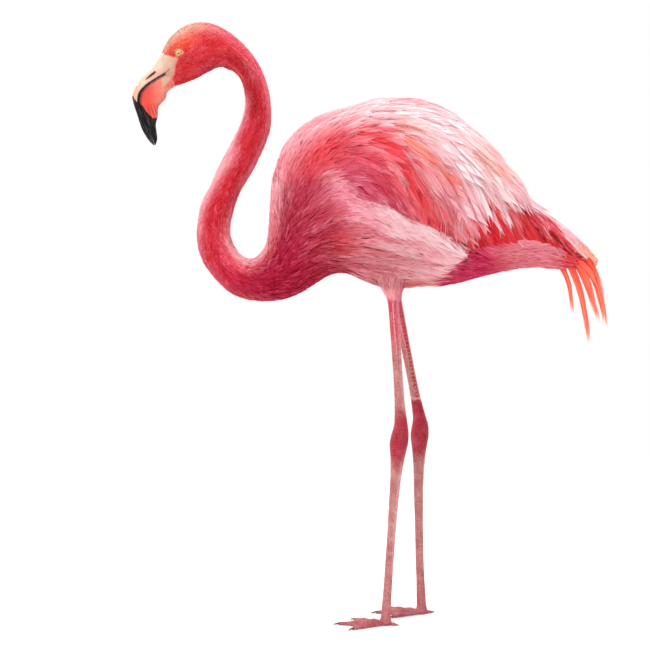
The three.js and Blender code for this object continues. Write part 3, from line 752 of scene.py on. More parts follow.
# Height, half depth and half width of a bare leg.
legProfile = np.array([
    (4, 8, 6.5), (16, 8, 6), (60, 7, 5.2), (150, 7, 5), (213, 8, 5.8), (250, 9, 7), (276, 11.2, 9), (290, 13.6, 11),
    (303, 15, 12.2), (320, 13.8, 11), (334, 11.2, 9), (352, 9.4, 7.8), (372, 8.2, 6.8), (412, 7.6, 6.1),
    (470, 8.0, 6.6), (535, 9.0, 7.8), (560, 13, 12), (590, 22, 18)], float)


# The bare skin before the eye ends along this line of height and x.
loreEdge = np.array([
    (875, -342), (884, -336), (890, -330), (897, -323), (905, -318.9), (921, -315.6), (931, -311), (934.5, -322),
    (936, -329), (938, -342), (942, -352)], float)
eyePlace = np.array([-311.5, 16.4, 939.8])


def bareFace(points):
    x, z = points[..., 0], points[..., 2]
    edge = np.interp(z, loreEdge[:, 0], loreEdge[:, 1])
    face = smoothStep(1.0, -1.0, x - edge) * smoothStep(944, 940, z)
    around = np.hypot((x - eyePlace[0]) / 8.4, (z - eyePlace[2]) / 7.0)
    return np.maximum(face, smoothStep(1.06, 0.94, around))


# Bare skin and bill share this: tan by the feathers and the chin, cream on the ridge, blotched pink.
def faceTone(points):
    x, z = points[..., 0], points[..., 2]
    forward = smoothStep(-5, 26, -(x + 330) * 0.75 + (z - 905) * 0.66)
    blotch = smoothStep(0.2, 1.6, np.sin(x * 0.31 + z * 0.17) + np.sin(z * 0.43 - x * 0.11 + 1.0))
    rim = smoothStep(-6, -1, x - np.interp(z, loreEdge[:, 0], loreEdge[:, 1])) * (z < 935)
    along, far = segmentShare(x, z, (-338, 904), (-326.5, 914.5))
    behindChin = (x + 328) * 0.765 - (z - 893) * 0.645
    low = smoothStep(902, 897, z) * smoothStep(881, 887, z)
    return layTones(
        plain("bare", x.shape),
        ("cream", forward),
        ("pink", 0.22 * blotch * (1 - forward) + 0.10 * blotch),
        ("coral", 0.35 * rim),
        ("blood", 0.8 * smoothStep(1.3, 0.5, far + 0.6 * along)),
        ("crimson", 0.9 * low * smoothStep(-0.4, 1.4, behindChin)),
        ("blood", 0.55 * low * np.exp(-(behindChin / 0.9) ** 2)))


# Points of the body in rows and columns, sunk under its outline by a share of the coat's depth.
def bodyGrid(places, angles, inset=1.0):
    t, a = np.meshgrid(places, angles, indexing="ij")
    swell = sideRelief(bodyPoint(t, a))
    return bodyPoint(t, a, swell - inset * coatDepth(t)), t, a


# The x of a leg's middle at a height, smoothed over the bends.
def legMiddle(course, height):
    heights, middles = zip(*course)
    base = np.interp(height, heights, middles)
    reach = 9.0
    around = [np.interp(height + step * reach, heights, middles) for step in (-1, -0.5, 0.5, 1)]
    return (base * 2 + sum(around)) / 6


scaleLook = {"ring": 6.4, "ringDepth": 0.42, "small": 4.2, "smallDepth": 0.22}


# Rings of scutes cross the front of the leg, and small round scales cover its sides and back.
def scuteDepth(height, angle, phase):
    front = smoothStep(0.15, 0.75, -np.cos(angle))
    rear = smoothStep(0.35, 0.85, np.cos(angle))
    wobble = 0.5 * np.sin(angle * 2 + phase)
    groove = np.abs(((height + wobble) / scaleLook["ring"] + phase) % 1.0 - 0.5) * 2
    bands = smoothStep(0.80, 1.0, groove)
    small = scaleLook["small"]
    row = np.floor(height / small)
    cross = np.abs(((angle / (2 * math.pi) * 12 + 0.5 * (row % 2)) % 1.0) - 0.5) * 2
    rise = np.abs((height / small) % 1.0 - 0.5) * 2
    cells = np.maximum(smoothStep(0.75, 1.0, cross), smoothStep(0.75, 1.0, rise))
    rings = scaleLook["ringDepth"] * bands * np.maximum(front, 0.5 * rear)
    return -rings - scaleLook["smallDepth"] * cells * (1 - front) * (1 - 0.5 * rear)


def legRings(side, course, low, high):
    heights = np.arange(low, high + 0.01, skinLook["legStep"])
    angles = np.linspace(0, 2 * math.pi, skinLook["legSides"], endpoint=False)
    h, a = np.meshgrid(heights, angles, indexing="ij")

    def profile(column):
        half = np.interp(h, legProfile[:, 0], legProfile[:, column])
        return np.apply_along_axis(lambda v: np.convolve(np.pad(v, 4, mode="edge"), np.ones(9) / 9, "valid"), 0, half)

    joint = np.exp(-((h - 300) / 30) ** 2)
    # Knuckles stand out at both sides of the joint, with a hollow between them.
    knuckle = joint * (0.9 * np.cos(2 * a) ** 2 * np.sin((h - 300) / 9) * 0.5 + 0.7 * np.sin(3 * a + 0.6))
    grow = scuteDepth(h, a, 0.3 if side > 0 else 0.0) * (1 - 0.3 * joint) + knuckle
    x = legMiddle(course, h) + (profile(1) + grow) * np.cos(a)
    y = side * legSpread + (profile(2) + grow) * np.sin(a)
    return np.stack([x, y, h], axis=-1)


footLook = {
    "inner": 66.0, "middle": 84.0, "outer": 71.0, "hind": 20.0,  # lengths of the toes
    "spread": math.radians(33), "hindTurn": 0.35, "rings": 64, "sides": 20, "webRows": 26,
    # Height, half depth and half width where the toes meet the leg.
    "hub": [(0, 8, 7.5), (3, 9, 8.6), (6, 9.5, 9), (11, 8.8, 7.4), (17, 8, 6.2), (24, 7.6, 5.8)],
}


# Which way a toe points, and the way across it.
def toeAxes(heading):
    ahead = np.array([-math.cos(heading), math.sin(heading)])
    return ahead, np.array([-ahead[1], ahead[0]])


# Start, heading and length of the middle, outer, inner and hind toe.
def toesOf(side, course):
    heelX = float(legMiddle(course, np.array(0.0)))
    front, heel = (heelX - 2, side * legSpread), (heelX + 4, side * legSpread)
    spread = side * footLook["spread"]
    return [(front, 0.0, footLook["middle"]), (front, spread, footLook["outer"]), (front, -spread, footLook["inner"]),
            (heel, math.pi - side * footLook["hindTurn"], footLook["hind"])]


def toeRings(origin, heading, length, width, height, clawFrom=0.9):
    share = np.linspace(0, 1, footLook["rings"])[:, None]
    angle = np.linspace(0, 2 * math.pi, footLook["sides"], endpoint=False)[None, :]
    pads = 1 + 0.09 * np.cos(2 * math.pi * 3 * share) - 0.05 * np.cos(2 * math.pi * 24 * share) * (np.sin(angle) > 0.2)
    blunt = np.sqrt(np.clip((1.0 - share) / 0.08, 0.02, 1))
    half = width / 2 * (1 - 0.34 * share) * pads * blunt
    tall = height * (1 - 0.45 * share) * pads * blunt
    ahead, aside = toeAxes(heading)
    x, y = (origin[k] + ahead[k] * (length * clawFrom * share) + aside[k] * half * np.cos(angle) for k in (0, 1))
    z = np.maximum(0.0, tall * (0.42 + 0.58 * np.sin(angle)))
    return np.stack([x, y, z], axis=-1)


def webRings(origin, start, end, lengthStart, lengthEnd):
    share = np.linspace(0, 1, footLook["webRows"])[:, None]
    out = np.linspace(0.04, 1, footLook["webRows"])[None, :]
    heading = start + (end - start) * share
    reach = (lengthStart + (lengthEnd - lengthStart) * share) * (0.86 - 0.2 * np.sin(math.pi * share))
    x = origin[0] - np.cos(heading) * reach * out
    y = origin[1] + np.sin(heading) * reach * out
    folds = 0.35 * np.sin(share * 9 * math.pi) * out
    top = 1.0 + 2.4 * (1.5 - 0.5 * out) + folds - 0.8 * np.sin(math.pi * share) * out
    upper = np.stack([x, y, top], axis=-1)
    lower = np.stack([x, y, np.full_like(top, 0.9)], axis=-1)
    return np.concatenate([upper, lower[:, ::-1]], axis=1)


def footPiece(side, course):
    middle, outer, inner, hind = toesOf(side, course)
    front, outward = middle[0], outer[1]
    angle = np.linspace(0, 2 * math.pi, 32, endpoint=False)
    hub = []
    for height, depth, width in footLook["hub"]:
        x = float(legMiddle(course, np.array(float(height))))
        hub.append(np.stack([x + depth * np.cos(angle), side * legSpread + width * np.sin(angle),
                             np.full_like(angle, height)], axis=-1))
    shapes = [
        toeRings(*middle, 12, 9.4), toeRings(*outer, 11, 8.8), toeRings(*inner, 11, 8.8), toeRings(*hind, 7, 6.4, 0.8),
        webRings(front, 0, outward, middle[2], outer[2]), webRings(front, -outward, 0, inner[2], middle[2]),
        np.array(hub),
    ]
    piece = turnOutward(makeMesh("footShape", *gathered(shapes)))
    remesh = piece.modifiers.new("weld", "REMESH")
    remesh.mode = "VOXEL"
    remesh.voxel_size = skinLook["footVoxel"] * mm
    relax = piece.modifiers.new("relax", "SMOOTH")
    relax.iterations = 3
    relax.factor = 0.5
    applyModifiers(piece)
    points = pointsOf(piece)
    points[:, 2] = np.where(points[:, 2] < 0.9, 0.0, points[:, 2])  # the sole is flat
    piece.data.vertices.foreach_set("co", (points * mm).ravel())
    return piece


def joinSolid(base, tool):
    union = base.modifiers.new("join", "BOOLEAN")
    union.operation = "UNION"
    union.solver = "MANIFOLD"
    union.object = tool
    before = len(base.data.vertices)
    applyModifiers(base)
    if len(base.data.vertices) < before * 0.6:
        print("skin: a join lost faces,", len(base.data.vertices), "points left")
    bpy.data.objects.remove(tool)


# Red joints, dots and lines on the bare legs, with pale streaks and a band down each rear edge painted as highlight, at
# points of the skin.
def legMarks(points):
    y, z = points[:, 1], points[:, 2]
    joint = smoothStep(252, 288, z) * np.where(y < 0, 1 - smoothStep(340, 376, z), 1 - smoothStep(361, 366, z))
    colour = layTones(
        plain("leg", z.shape),
        ("joint", joint),
        ("rose", 0.75 * smoothStep(440, 490, z)),
        ("magenta", 0.55 * smoothStep(515, 535, z)),
        ("toe", smoothStep(60, 10, z)))
    for side, course in legCourses.values():
        mine = y * side > 0
        around = np.arctan2(y - side * legSpread, points[:, 0] - legMiddle(course, z))
        ring = np.abs(((z + 0.5 * np.sin(around * 2)) / scaleLook["ring"]) % 1.0 - 0.5) * 2
        dashes = smoothStep(0.86, 0.96, np.cos(around + 1.0 * side)) * smoothStep(0.35, 0.6, ring) * mine
        scutes = smoothStep(0.2, 0.7, -np.cos(around)) * smoothStep(0.80, 0.98, ring) * mine * (z > 30)
        # Pale streaks on the upper shin are painted highlight; the dark red streaks between them are the leg's own.
        lines = np.sin(around * 9 + z * 0.035) + np.sin(around * 15 + 1.3 - z * 0.02) + np.sin(around * 4 + 2.0)
        # A band down each leg's rear edge: painted highlight.
        ridge = smoothStep(0.82, 0.97, np.cos(around + max(-0.5 * side, 0))) * (1 - joint) * smoothStep(60, 120, z)
        colour = layTones(
            colour,
            ("wine", 0.85 * dashes * smoothStep(320, 345, z) * smoothStep(520, 480, z)),
            ("joint", 0.35 * scutes),
            ("blush", 0.75 * smoothStep(0.9, 2.2, lines) * smoothStep(420, 470, z) * mine),
            ("wine", 0.4 * smoothStep(0.9, 2.0, -lines) * smoothStep(400, 450, z) * mine),
            ("blush", 0.45 * ridge * mine))
    collar = (y > 0) * np.exp(-((z - 368) / 1.8) ** 2)
    return layTones(colour, ("blush", 0.7 * collar))


# The skin takes the plumage's own colours from the nearest place along the body.
def skinMarks(points):
    guide, t, _ = bodyGrid(np.linspace(0, 37, 149), np.linspace(-math.pi, math.pi, 41))
    finder = KDTree(guide.reshape(-1, 3).shape[0])
    for i, point in enumerate(guide.reshape(-1, 3)):
        finder.insert(point, i)
    finder.balance()
    flat = t.ravel()
    place = np.array([flat[finder.find(point)[1]] for point in points])
    colour, _, _ = plumageMarks(points, place)
    bareLeg = smoothStep(548, 540, points[:, 2])
    colour = mixColour(colour, legMarks(points), bareLeg)
    face = bareFace(points) * (points[:, 2] > 800)
    return mixColour(colour, faceTone(points), face), np.maximum(bareLeg, 0.12 * face)


def makeSkinMaterial():
    material, sheet = newMaterial("bareSkin")
    marking, scaly, place = readMark(sheet, "marking", "Color"), readMark(sheet, "scaly"), objectPlace(sheet)
    cells = sheet.add("ShaderNodeTexVoronoi", {"feature": "DISTANCE_TO_EDGE"}, {"Vector": place, "Scale": 340.0})
    edges = 1.0 - cells.between(0.02, 0.16)
    pebbles = sheet.add("ShaderNodeTexVoronoi", {"feature": "F1"}, {"Vector": place, "Scale": 340.0}, "Distance")
    mottle = noise(sheet, place, 60.0, 4.0)
    fine = noise(sheet, place, 900.0, 2.0)
    pale = gamma(sheet, marking, 0.72)
    colour = marking.mixed(mottle.between(0.50, 0.68) * 0.7, gamma(sheet, marking, 1.5))
    colour = colour.mixed(mottle.between(0.48, 0.32) * 0.7, pale)
    colour = colour.mixed((1.0 - pebbles.between(0.1, 0.5)) * scaly * 0.5, pale)
    colour = colour.mixed(edges * scaly * 0.75, marking.mixed(1.0, shade(0.60, 0.28, 0.30), "MULTIPLY"))
    finishMaterial(sheet, {"Base Color": colour, "Roughness": 0.42 + 0.2 * mottle, "Specular IOR Level": 0.3,
                           "Normal": bump(sheet, fine * 0.25 - edges * scaly, 0.7, 0.0004)})
    return material


skinNodes = ["head", "neck_1", "neck_2", "neck_3", "neck_4", "neck_5", "trunk", "tail"]
for pairedPart in ("wing", "thigh", "shin", "ankle", "tarsus", "foot"):
    skinNodes += [pairedPart + "_left", pairedPart + "_right"]


def makeSkin():
    angles = np.linspace(-math.pi, math.pi, skinLook["bodySides"], endpoint=False)
    rings, _, _ = bodyGrid(np.linspace(0, 36.9, skinLook["bodyRows"]), angles)
    skin = turnOutward(makeMesh("skin", *tube(rings)))
    for side, course in legCourses.values():
        joinSolid(skin, turnOutward(makeMesh("legShape", *tube(legRings(side, course, 9.0, 590.0)))))
        joinSolid(skin, footPiece(side, course))
    colour, scaly = skinMarks(pointsOf(skin))
    setAttribute(skin.data, "marking", "FLOAT_COLOR", colour)
    setAttribute(skin.data, "scaly", "FLOAT", scaly)
    skin.data.polygons.foreach_set("use_smooth", [True] * len(skin.data.polygons))
    skin.data.materials.clear()
    skin.data.materials.append(makeSkinMaterial())
    settle(skin, "leg_skin", *skinNodes)


makeSkin()


clawLook = {"half": 2.7, "lift": 3.1, "droop": 2.3, "sizes": (1.0, 0.9, 0.9, 0.6), "starts": (0.85, 0.85, 0.85, 0.74)}


def makeClaws():
    share = np.linspace(0, 1, 16)[:, None]
    angle = np.linspace(0, 2 * math.pi, 16, endpoint=False)[None, :]
    shapes = []
    for side, course in legCourses.values():
        for (origin, heading, length), size, start in zip(toesOf(side, course), clawLook["sizes"], clawLook["starts"]):
            ahead, aside = toeAxes(heading)
            width = clawLook["half"] * size * np.sqrt(1.02 - share) * (0.75 + 0.25 * share)
            reach = length * (start + (1 - start) * share)
            lift = (clawLook["lift"] - clawLook["droop"] * share ** 1.6) * size + 0.2
            x, y = (origin[k] + ahead[k] * reach + aside[k] * width * np.cos(angle) for k in (0, 1))
            shapes.append(np.stack([x, y, np.maximum(0.0, lift + width * 0.8 * np.sin(angle))], axis=-1))
    material, sheet = newMaterial("clawHorn")
    grain = noise(sheet, objectPlace(sheet), 500.0, 3.0)
    colour = ramp(sheet, grain, (0.3, 0.05, 0.02, 0.02), (0.7, 0.16, 0.07, 0.06))
    finishMaterial(sheet, {"Base Color": colour, "Roughness": 0.35 + 0.15 * grain})
    settle(turnOutward(makeMesh("claws", *gathered(shapes), material)), "leg_skin", "foot_left", "foot_right")


makeClaws()


billLook = {
    "rows": 150, "sides": 44, "upperFullness": 0.8, "lowerFullness": 0.6,
    "slitDepth": 2.4, "slitHalf": 1.5, "slitFrom": (-350.5, 909.5), "slitTo": (-366.0, 897.0),  # the nostril
}
# Ridge x and z, gape x and z, chin x and z, upper and lower half width, from base to tip.
billTable = np.array([
    (-338, 943, -322, 912, -318, 887, 15, 14), (-353, 922, -341, 903, -331, 877, 14.5, 13.5),
    (-364, 908, -353, 896.5, -334, 867, 13, 13), (-375, 899, -364, 889, -342, 858, 11.5, 13),
    (-383, 887, -371, 881.5, -346, 853, 10.5, 12.5), (-389, 874, -375.5, 874, -347, 844, 9.5, 12),
    (-387, 859, -377, 861, -348, 835, 9, 11), (-381, 840, -372, 842, -350.5, 826, 8, 9),
    (-373, 816, -364, 821, -349.8, 815, 6, 6.5), (-362, 798, -357, 804, -348.4, 802, 3.8, 3.8),
    (-354, 790, -353, 791, -351, 791.5, 1, 1)], float)
# Below this line of x and z both halves are black.
blackLine = np.array([(-395, 873), (-387.5, 871.5), (-382, 862.5), (-374, 861), (-366, 847), (-355, 835),
                      (-346, 835)], float)


def billHalf(outer, widthColumn, fullness):
    places = np.linspace(0, len(billTable) - 1, billLook["rows"])
    angle = np.linspace(0, math.pi, billLook["sides"])[None, :]
    row = smoothAt(billTable, places)
    base = row[:, 2:4]
    gap = row[:, outer:outer + 2] - base
    height = np.linalg.norm(gap, axis=1)
    lift = 0.35 + (height[:, None] - 0.35) * np.sin(angle) ** fullness
    middle = base[:, None, :] + (gap / height[:, None])[:, None, :] * lift[..., None]
    y = row[:, widthColumn][:, None] * np.cos(angle)
    return np.stack([middle[..., 0], y, middle[..., 1]], axis=-1)


# The half width of the nostril beside a point, and how far the point is from its middle line.
def nostrilAt(x, z):
    slit, far = segmentShare(x, z, billLook["slitFrom"], billLook["slitTo"])
    return billLook["slitHalf"] * np.sin(math.pi * np.clip(0.25 + 0.75 * slit, 0, 1)) ** 0.7 + 0.1, far


# How far points are from the line where the halves meet, and how far along it.
def gapeDistance(x, z):
    best = np.full(np.shape(x), 1e9)
    share = np.zeros(np.shape(x))
    fine = smoothAt(billTable, np.linspace(0, 10, 60))[:, 2:4]
    for i in range(len(fine) - 1):
        s, far = segmentShare(x, z, fine[i], fine[i + 1])
        share = np.where(far < best, (i + s) / 59 * 10, share)
        best = np.minimum(best, far)
    return best, share


def finishBill(name, node, rings, colour, black, slot, material):
    piece = turnOutward(makeMesh(name, *tube(rings), material))
    points = pointsOf(piece)
    setAttribute(piece.data, "marking", "FLOAT_COLOR", colour(points))
    setAttribute(piece.data, "black", "FLOAT", black(points))
    settle(piece, slot, node)


def blackTip(points):
    x, z = points[:, 0], points[:, 2]
    line = np.interp(x, blackLine[:, 0], blackLine[:, 1])
    ragged = 0.7 * np.sin(x * 1.9) + 0.4 * np.sin(x * 4.7 + z)
    return smoothStep(-1.0, 1.0, line - z + ragged)


def upperColour(points):
    x, z = points[:, 0], points[:, 2]
    bend = spotAt(x, z, (-388, 884), (9, 12))
    colour = mixColour(faceTone(points), np.array([0.85, 0.26, 0.12]), 0.75 * bend)
    flush = np.exp(-(segmentShare(x, z, (-341, 912), (-362, 901))[1] / 4.5) ** 2)
    return mixColour(colour, np.array([0.80, 0.22, 0.17]), 0.4 * flush)


def upperBlack(points):
    x, z = points[:, 0], points[:, 2]
    far, share = gapeDistance(x, z)
    width = np.interp(share, [0, 0.5, 1.6, 2.6, 3.6, 5], [0.6, 0.9, 1.2, 1.7, 1.9, 3.0])
    half, farSlit = nostrilAt(x, z)
    return np.maximum.reduce([blackTip(points), smoothStep(width + 0.5, width - 0.5, far),
                              smoothStep(half + 0.5, half - 0.4, farSlit)])


def lowerColour(points):
    x, z = points[:, 0], points[:, 2]
    colour = np.tile(np.array([0.74, 0.068, 0.048]), (len(x), 1))
    colour = layTones(colour, ("peach", 0.30 * smoothStep(-364, -342, x)))
    edge = np.interp(z, [838, 858, 866, 874, 885, 901, 905], [-330, -335, -338, -340, -339, -341, -343])
    chin = layTones(faceTone(points), ("peach", np.full(x.shape, 0.25)), ("coral", 0.35 * smoothStep(884, 866, z)))
    colour = mixColour(colour, chin, smoothStep(-2, 3, x - edge))
    # Painted shade in the folds of the lower bill.
    foldShade = np.exp(-((z - 848) / 10) ** 4) * smoothStep(0.1, 0.9, np.sin(x * 1.25 + 0.4 * z)) * smoothStep(-366, -361, x)
    return dimmed(colour, (0.35, 0.75, 0.75), foldShade)


def lowerBlack(points):
    far, share = gapeDistance(points[:, 0], points[:, 2])
    width = np.interp(share, [0, 0.5, 1.6, 3.0, 5], [0.3, 0.5, 0.6, 0.9, 1.4])
    return np.maximum(blackTip(points), smoothStep(width + 0.5, width - 0.4, far))


def makeBillMaterial(name, wrinkles):
    material, sheet = newMaterial(name)
    marking, black, place = readMark(sheet, "marking", "Color"), readMark(sheet, "black"), objectPlace(sheet)
    clouds = noise(sheet, place, 90.0, 4.0)
    stretched = sheet.add("ShaderNodeMapping", {"vector_type": "TEXTURE"},
                          {"Vector": place, "Rotation": (0.0, -0.4, 0.0), "Scale": (1.0, 3.0, 9.0)})
    grain = noise(sheet, stretched, 520.0, 3.0)
    colour = marking.mixed(clouds.between(0.5, 0.75) * 0.35, marking.mixed(1.0, shade(0.85, 0.62, 0.55), "MULTIPLY"))
    colour = colour.mixed(grain.between(0.5, 0.75) * 0.2, gamma(sheet, marking, 0.7))
    # The black is streaked dark grey along the bill, partly painted highlight on the tip's ridges.
    colour = colour.mixed(black, ramp(sheet, grain, (0.50, 0.004, 0.002, 0.003), (0.72, 0.085, 0.055, 0.060)))
    finishMaterial(sheet, {"Base Color": colour, "Roughness": 0.30 + 0.16 * clouds, "Specular IOR Level": 0.28,
                           "Normal": bump(sheet, grain * wrinkles + clouds, 0.35, 0.0003)})
    return material


def makeBill():
    upper = billHalf(0, 6, billLook["upperFullness"])
    x, z = upper[..., 0], upper[..., 2]
    half, far = nostrilAt(x, z)
    hole = smoothStep(half + 0.7, half * 0.4, far)
    lip = np.exp(-((far - half - 1.3) / 0.9) ** 2) * 0.35
    groove = np.exp(-((segmentShare(x, z, (-341, 921), (-378, 886))[1]) / 1.8) ** 2)
    for inward in (billLook["slitDepth"] * hole - lip, 0.35 * groove):
        upper[..., 1] -= np.sign(upper[..., 1]) * inward
    finishBill("billUpper", "bill_upper", upper, upperColour, upperBlack, "upper_bill",
               makeBillMaterial("billCream", 1.0))
    lower = billHalf(4, 7, billLook["lowerFullness"])
    x, z = lower[..., 0], lower[..., 2]
    crease = np.exp(-(((z - 842) / 10) ** 2)) * np.sin((x * 0.9 + z * 0.25) * 0.9) * 0.35
    lower[..., 1] += np.sign(lower[..., 1]) * crease
    finishBill("billLower", "bill_lower", lower, lowerColour, lowerBlack, "lower_bill",
               makeBillMaterial("billCoral", 1.6))


makeBill()


eyeLook = {"radius": 8.5, "irisHalf": 5.0, "openHalf": (6.2, 4.4), "ringHalf": (8.5, 6.8), "bulge": 0.5}


def makeEyeMaterial(name, side):
    material, sheet = newMaterial("eye" + name)
    offset = objectPlace(sheet) - tuple(eyePlace * (1, side, 1) * mm)
    x = sheet.add("ShaderNodeSeparateXYZ", None, {"Vector": offset}, output="X")
    z = x.out("Z")
    radius = (x * x + z * z) ** 0.5 / mm
    spokes = noise(sheet, offset.maths("NORMALIZE", offset), 9.0, 3.0)
    # The pupil, the dark rim round it, the yellow iris and its brown edge.
    iris = ramp(sheet, radius / eyeLook["irisHalf"], (0.0, 0.05, 0.018, 0.008), (0.18, 0.08, 0.028, 0.010),
                (0.29, 0.45, 0.17, 0.03), (0.5, 0.74, 0.36, 0.07), (0.92, 0.72, 0.38, 0.10), (1.0, 0.28, 0.11, 0.05))
    colour = iris.mixed(spokes.between(0.5, 0.8) * 0.5, iris.mixed(1.0, shade(0.75, 0.45, 0.3), "MULTIPLY"))
    finishMaterial(sheet, {"Base Color": colour, "Roughness": 0.12 + 0.05 * spokes, "Coat Weight": 1.0,
                           "Coat Roughness": 0.03})
    return material


def makeEyes():
    theta = np.linspace(0, math.pi, 40)[:, None]
    phi = np.linspace(0, 2 * math.pi, 64, endpoint=False)[None, :]
    reach = eyeLook["radius"] + eyeLook["bulge"] * np.exp(-(theta / 0.42) ** 4)  # the clear front bulges a little
    x = eyePlace[0] + reach * np.sin(theta) * np.cos(phi)
    z = eyePlace[2] + reach * np.sin(theta) * np.sin(phi)
    y = eyePlace[1] + reach * np.cos(theta) + 0 * phi
    for name, side in sides.items():
        rings = np.stack([x, side * y, z], axis=-1)
        ball = turnOutward(makeMesh("eye" + name, *tube(rings), makeEyeMaterial(name, side)))
        settle(ball, "eye", "eye_" + name.lower())


makeEyes()


lidLook = {"rings": 26, "sides": 96, "lean": math.radians(8), "ridge": 1.2, "thick": 0.8}


def makeLidMaterial():
    material, sheet = newMaterial("lidSkin")
    mottle = noise(sheet, objectPlace(sheet), 700.0, 3.0)
    colour = ramp(sheet, readMark(sheet, "edge"), (0.0, 0.10, 0.03, 0.02), (0.12, 0.30, 0.09, 0.06),
                  (0.28, 0.80, 0.60, 0.48), (0.70, 0.78, 0.42, 0.34), (1.0, 0.62, 0.10, 0.08))
    colour = colour.mixed(mottle.between(0.5, 0.8) * 0.4, shade(0.60, 0.18, 0.14))
    finishMaterial(sheet, {"Base Color": colour, "Roughness": 0.4 + 0.1 * mottle,
                           "Normal": bump(sheet, mottle, 0.4, 0.0002)})
    return material


# The lids are rings of thin folded skin round each eye.
def makeLids():
    flat = bodyGrid(np.linspace(0.6, 4, 120), np.linspace(0.4, 2.6, 120))[0].reshape(-1, 3)
    share = np.linspace(0, 1, lidLook["rings"])[:, None]
    phi = np.linspace(0, 2 * math.pi, lidLook["sides"], endpoint=False)[None, :]
    openX, openZ = eyeLook["openHalf"]
    ringX, ringZ = eyeLook["ringHalf"]
    corner = 1 + 0.10 * np.exp(-((np.mod(phi + 0.25, 2 * math.pi) - math.pi) / 0.35) ** 2) * (1 - share)
    dx = (openX + (ringX - openX) * share) * np.cos(phi) * corner
    dz = (openZ + (ringZ - openZ) * share) * np.sin(phi)
    c, s = math.cos(lidLook["lean"]), math.sin(lidLook["lean"])
    x = eyePlace[0] + dx * c + dz * s
    z = eyePlace[2] - dx * s + dz * c
    ball = eyePlace[1] + np.sqrt(np.maximum((eyeLook["radius"] + 0.15) ** 2 - dx ** 2 - dz ** 2, 1.0))
    head = np.zeros_like(x)
    for index in np.ndindex(x.shape):
        near = np.argmin((flat[:, 0] - x[index]) ** 2 + (flat[:, 2] - z[index]) ** 2)
        head[index] = flat[near, 1]
    ridge = lidLook["ridge"] * np.sin(math.pi * np.clip(share * 1.05, 0, 1)) ** 0.8
    folds = 0.16 * np.sin(share * 3.2 * 2 * math.pi) * np.sin(math.pi * share) + 0.08 * np.sin(phi * 22) * share
    y = ball * (1 - share ** 0.8) + (head - 0.9) * share ** 0.8 + ridge * (0.8 + 0.2 * np.sin(phi)) + folds
    material = makeLidMaterial()
    for name, side in sides.items():
        outer = np.stack([x, side * y, z], axis=-1)
        inner = np.stack([x, side * (y - lidLook["thick"]), z], axis=-1)
        shell = np.concatenate([outer, inner[::-1], outer[:1]])
        lid = turnOutward(makeMesh("lid" + name, shell, gridFaces(len(shell), lidLook["sides"], wrap=True), material))
        spot = pointsOf(lid)
        u, w = (spot[:, 0] - eyePlace[0]), (spot[:, 2] - eyePlace[2])
        inX, inZ = u * c - w * s, u * s + w * c
        angle = np.arctan2(inZ, inX)
        near, far = (np.hypot(halfX * np.cos(angle), halfZ * np.sin(angle))
                     for halfX, halfZ in ((openX, openZ), (ringX, ringZ)))
        setAttribute(lid.data, "edge", "FLOAT", np.clip((np.hypot(inX, inZ) - near) / (far - near), 0, 1))
        settle(lid, "leg_skin", "head")


makeLids()


# Each feather is a fan of thin barbs. steps is the number of faces along one barb, fan the width at
# the root, full where it is widest, drop how far the side barbs fall short, ragged their unevenness.
featherKinds = {
    "down": {"barbs": 3, "steps": 2, "fan": 0.5, "full": 0.8, "drop": 0.22, "ragged": 0.14, "arch": 0.20, "bow": 0.0},
    "soft": {"barbs": 8, "steps": 3, "fan": 0.25, "full": 0.7, "drop": 0.34, "ragged": 0.20, "arch": 0.10,
             "bow": 0.15},
    "covert": {"barbs": 11, "steps": 4, "fan": 0.22, "full": 0.66, "drop": 0.40, "ragged": 0.12, "arch": 0.10,
               "bow": 0.15},
    "drape": {"barbs": 19, "steps": 6, "fan": 0.14, "full": 0.62, "drop": 0.34, "ragged": 0.10, "arch": 0.10,
              "bow": 0.10},
    "quill": {"barbs": 11, "steps": 7, "fan": 0.12, "full": 0.45, "drop": 0.50, "ragged": 0.04, "arch": 0.22,
              "bow": 0.10},
}
featherVariants = 5


# The faces of one strand whose rows of two points end in a single one.
def strandFaces(first, steps):
    rows = [first + 2 * step for step in range(steps)]
    return [[a, a + 1, a + 3, a + 2] for a in rows[:-1]] + [[rows[-1], rows[-1] + 1, rows[-1] + 2]]


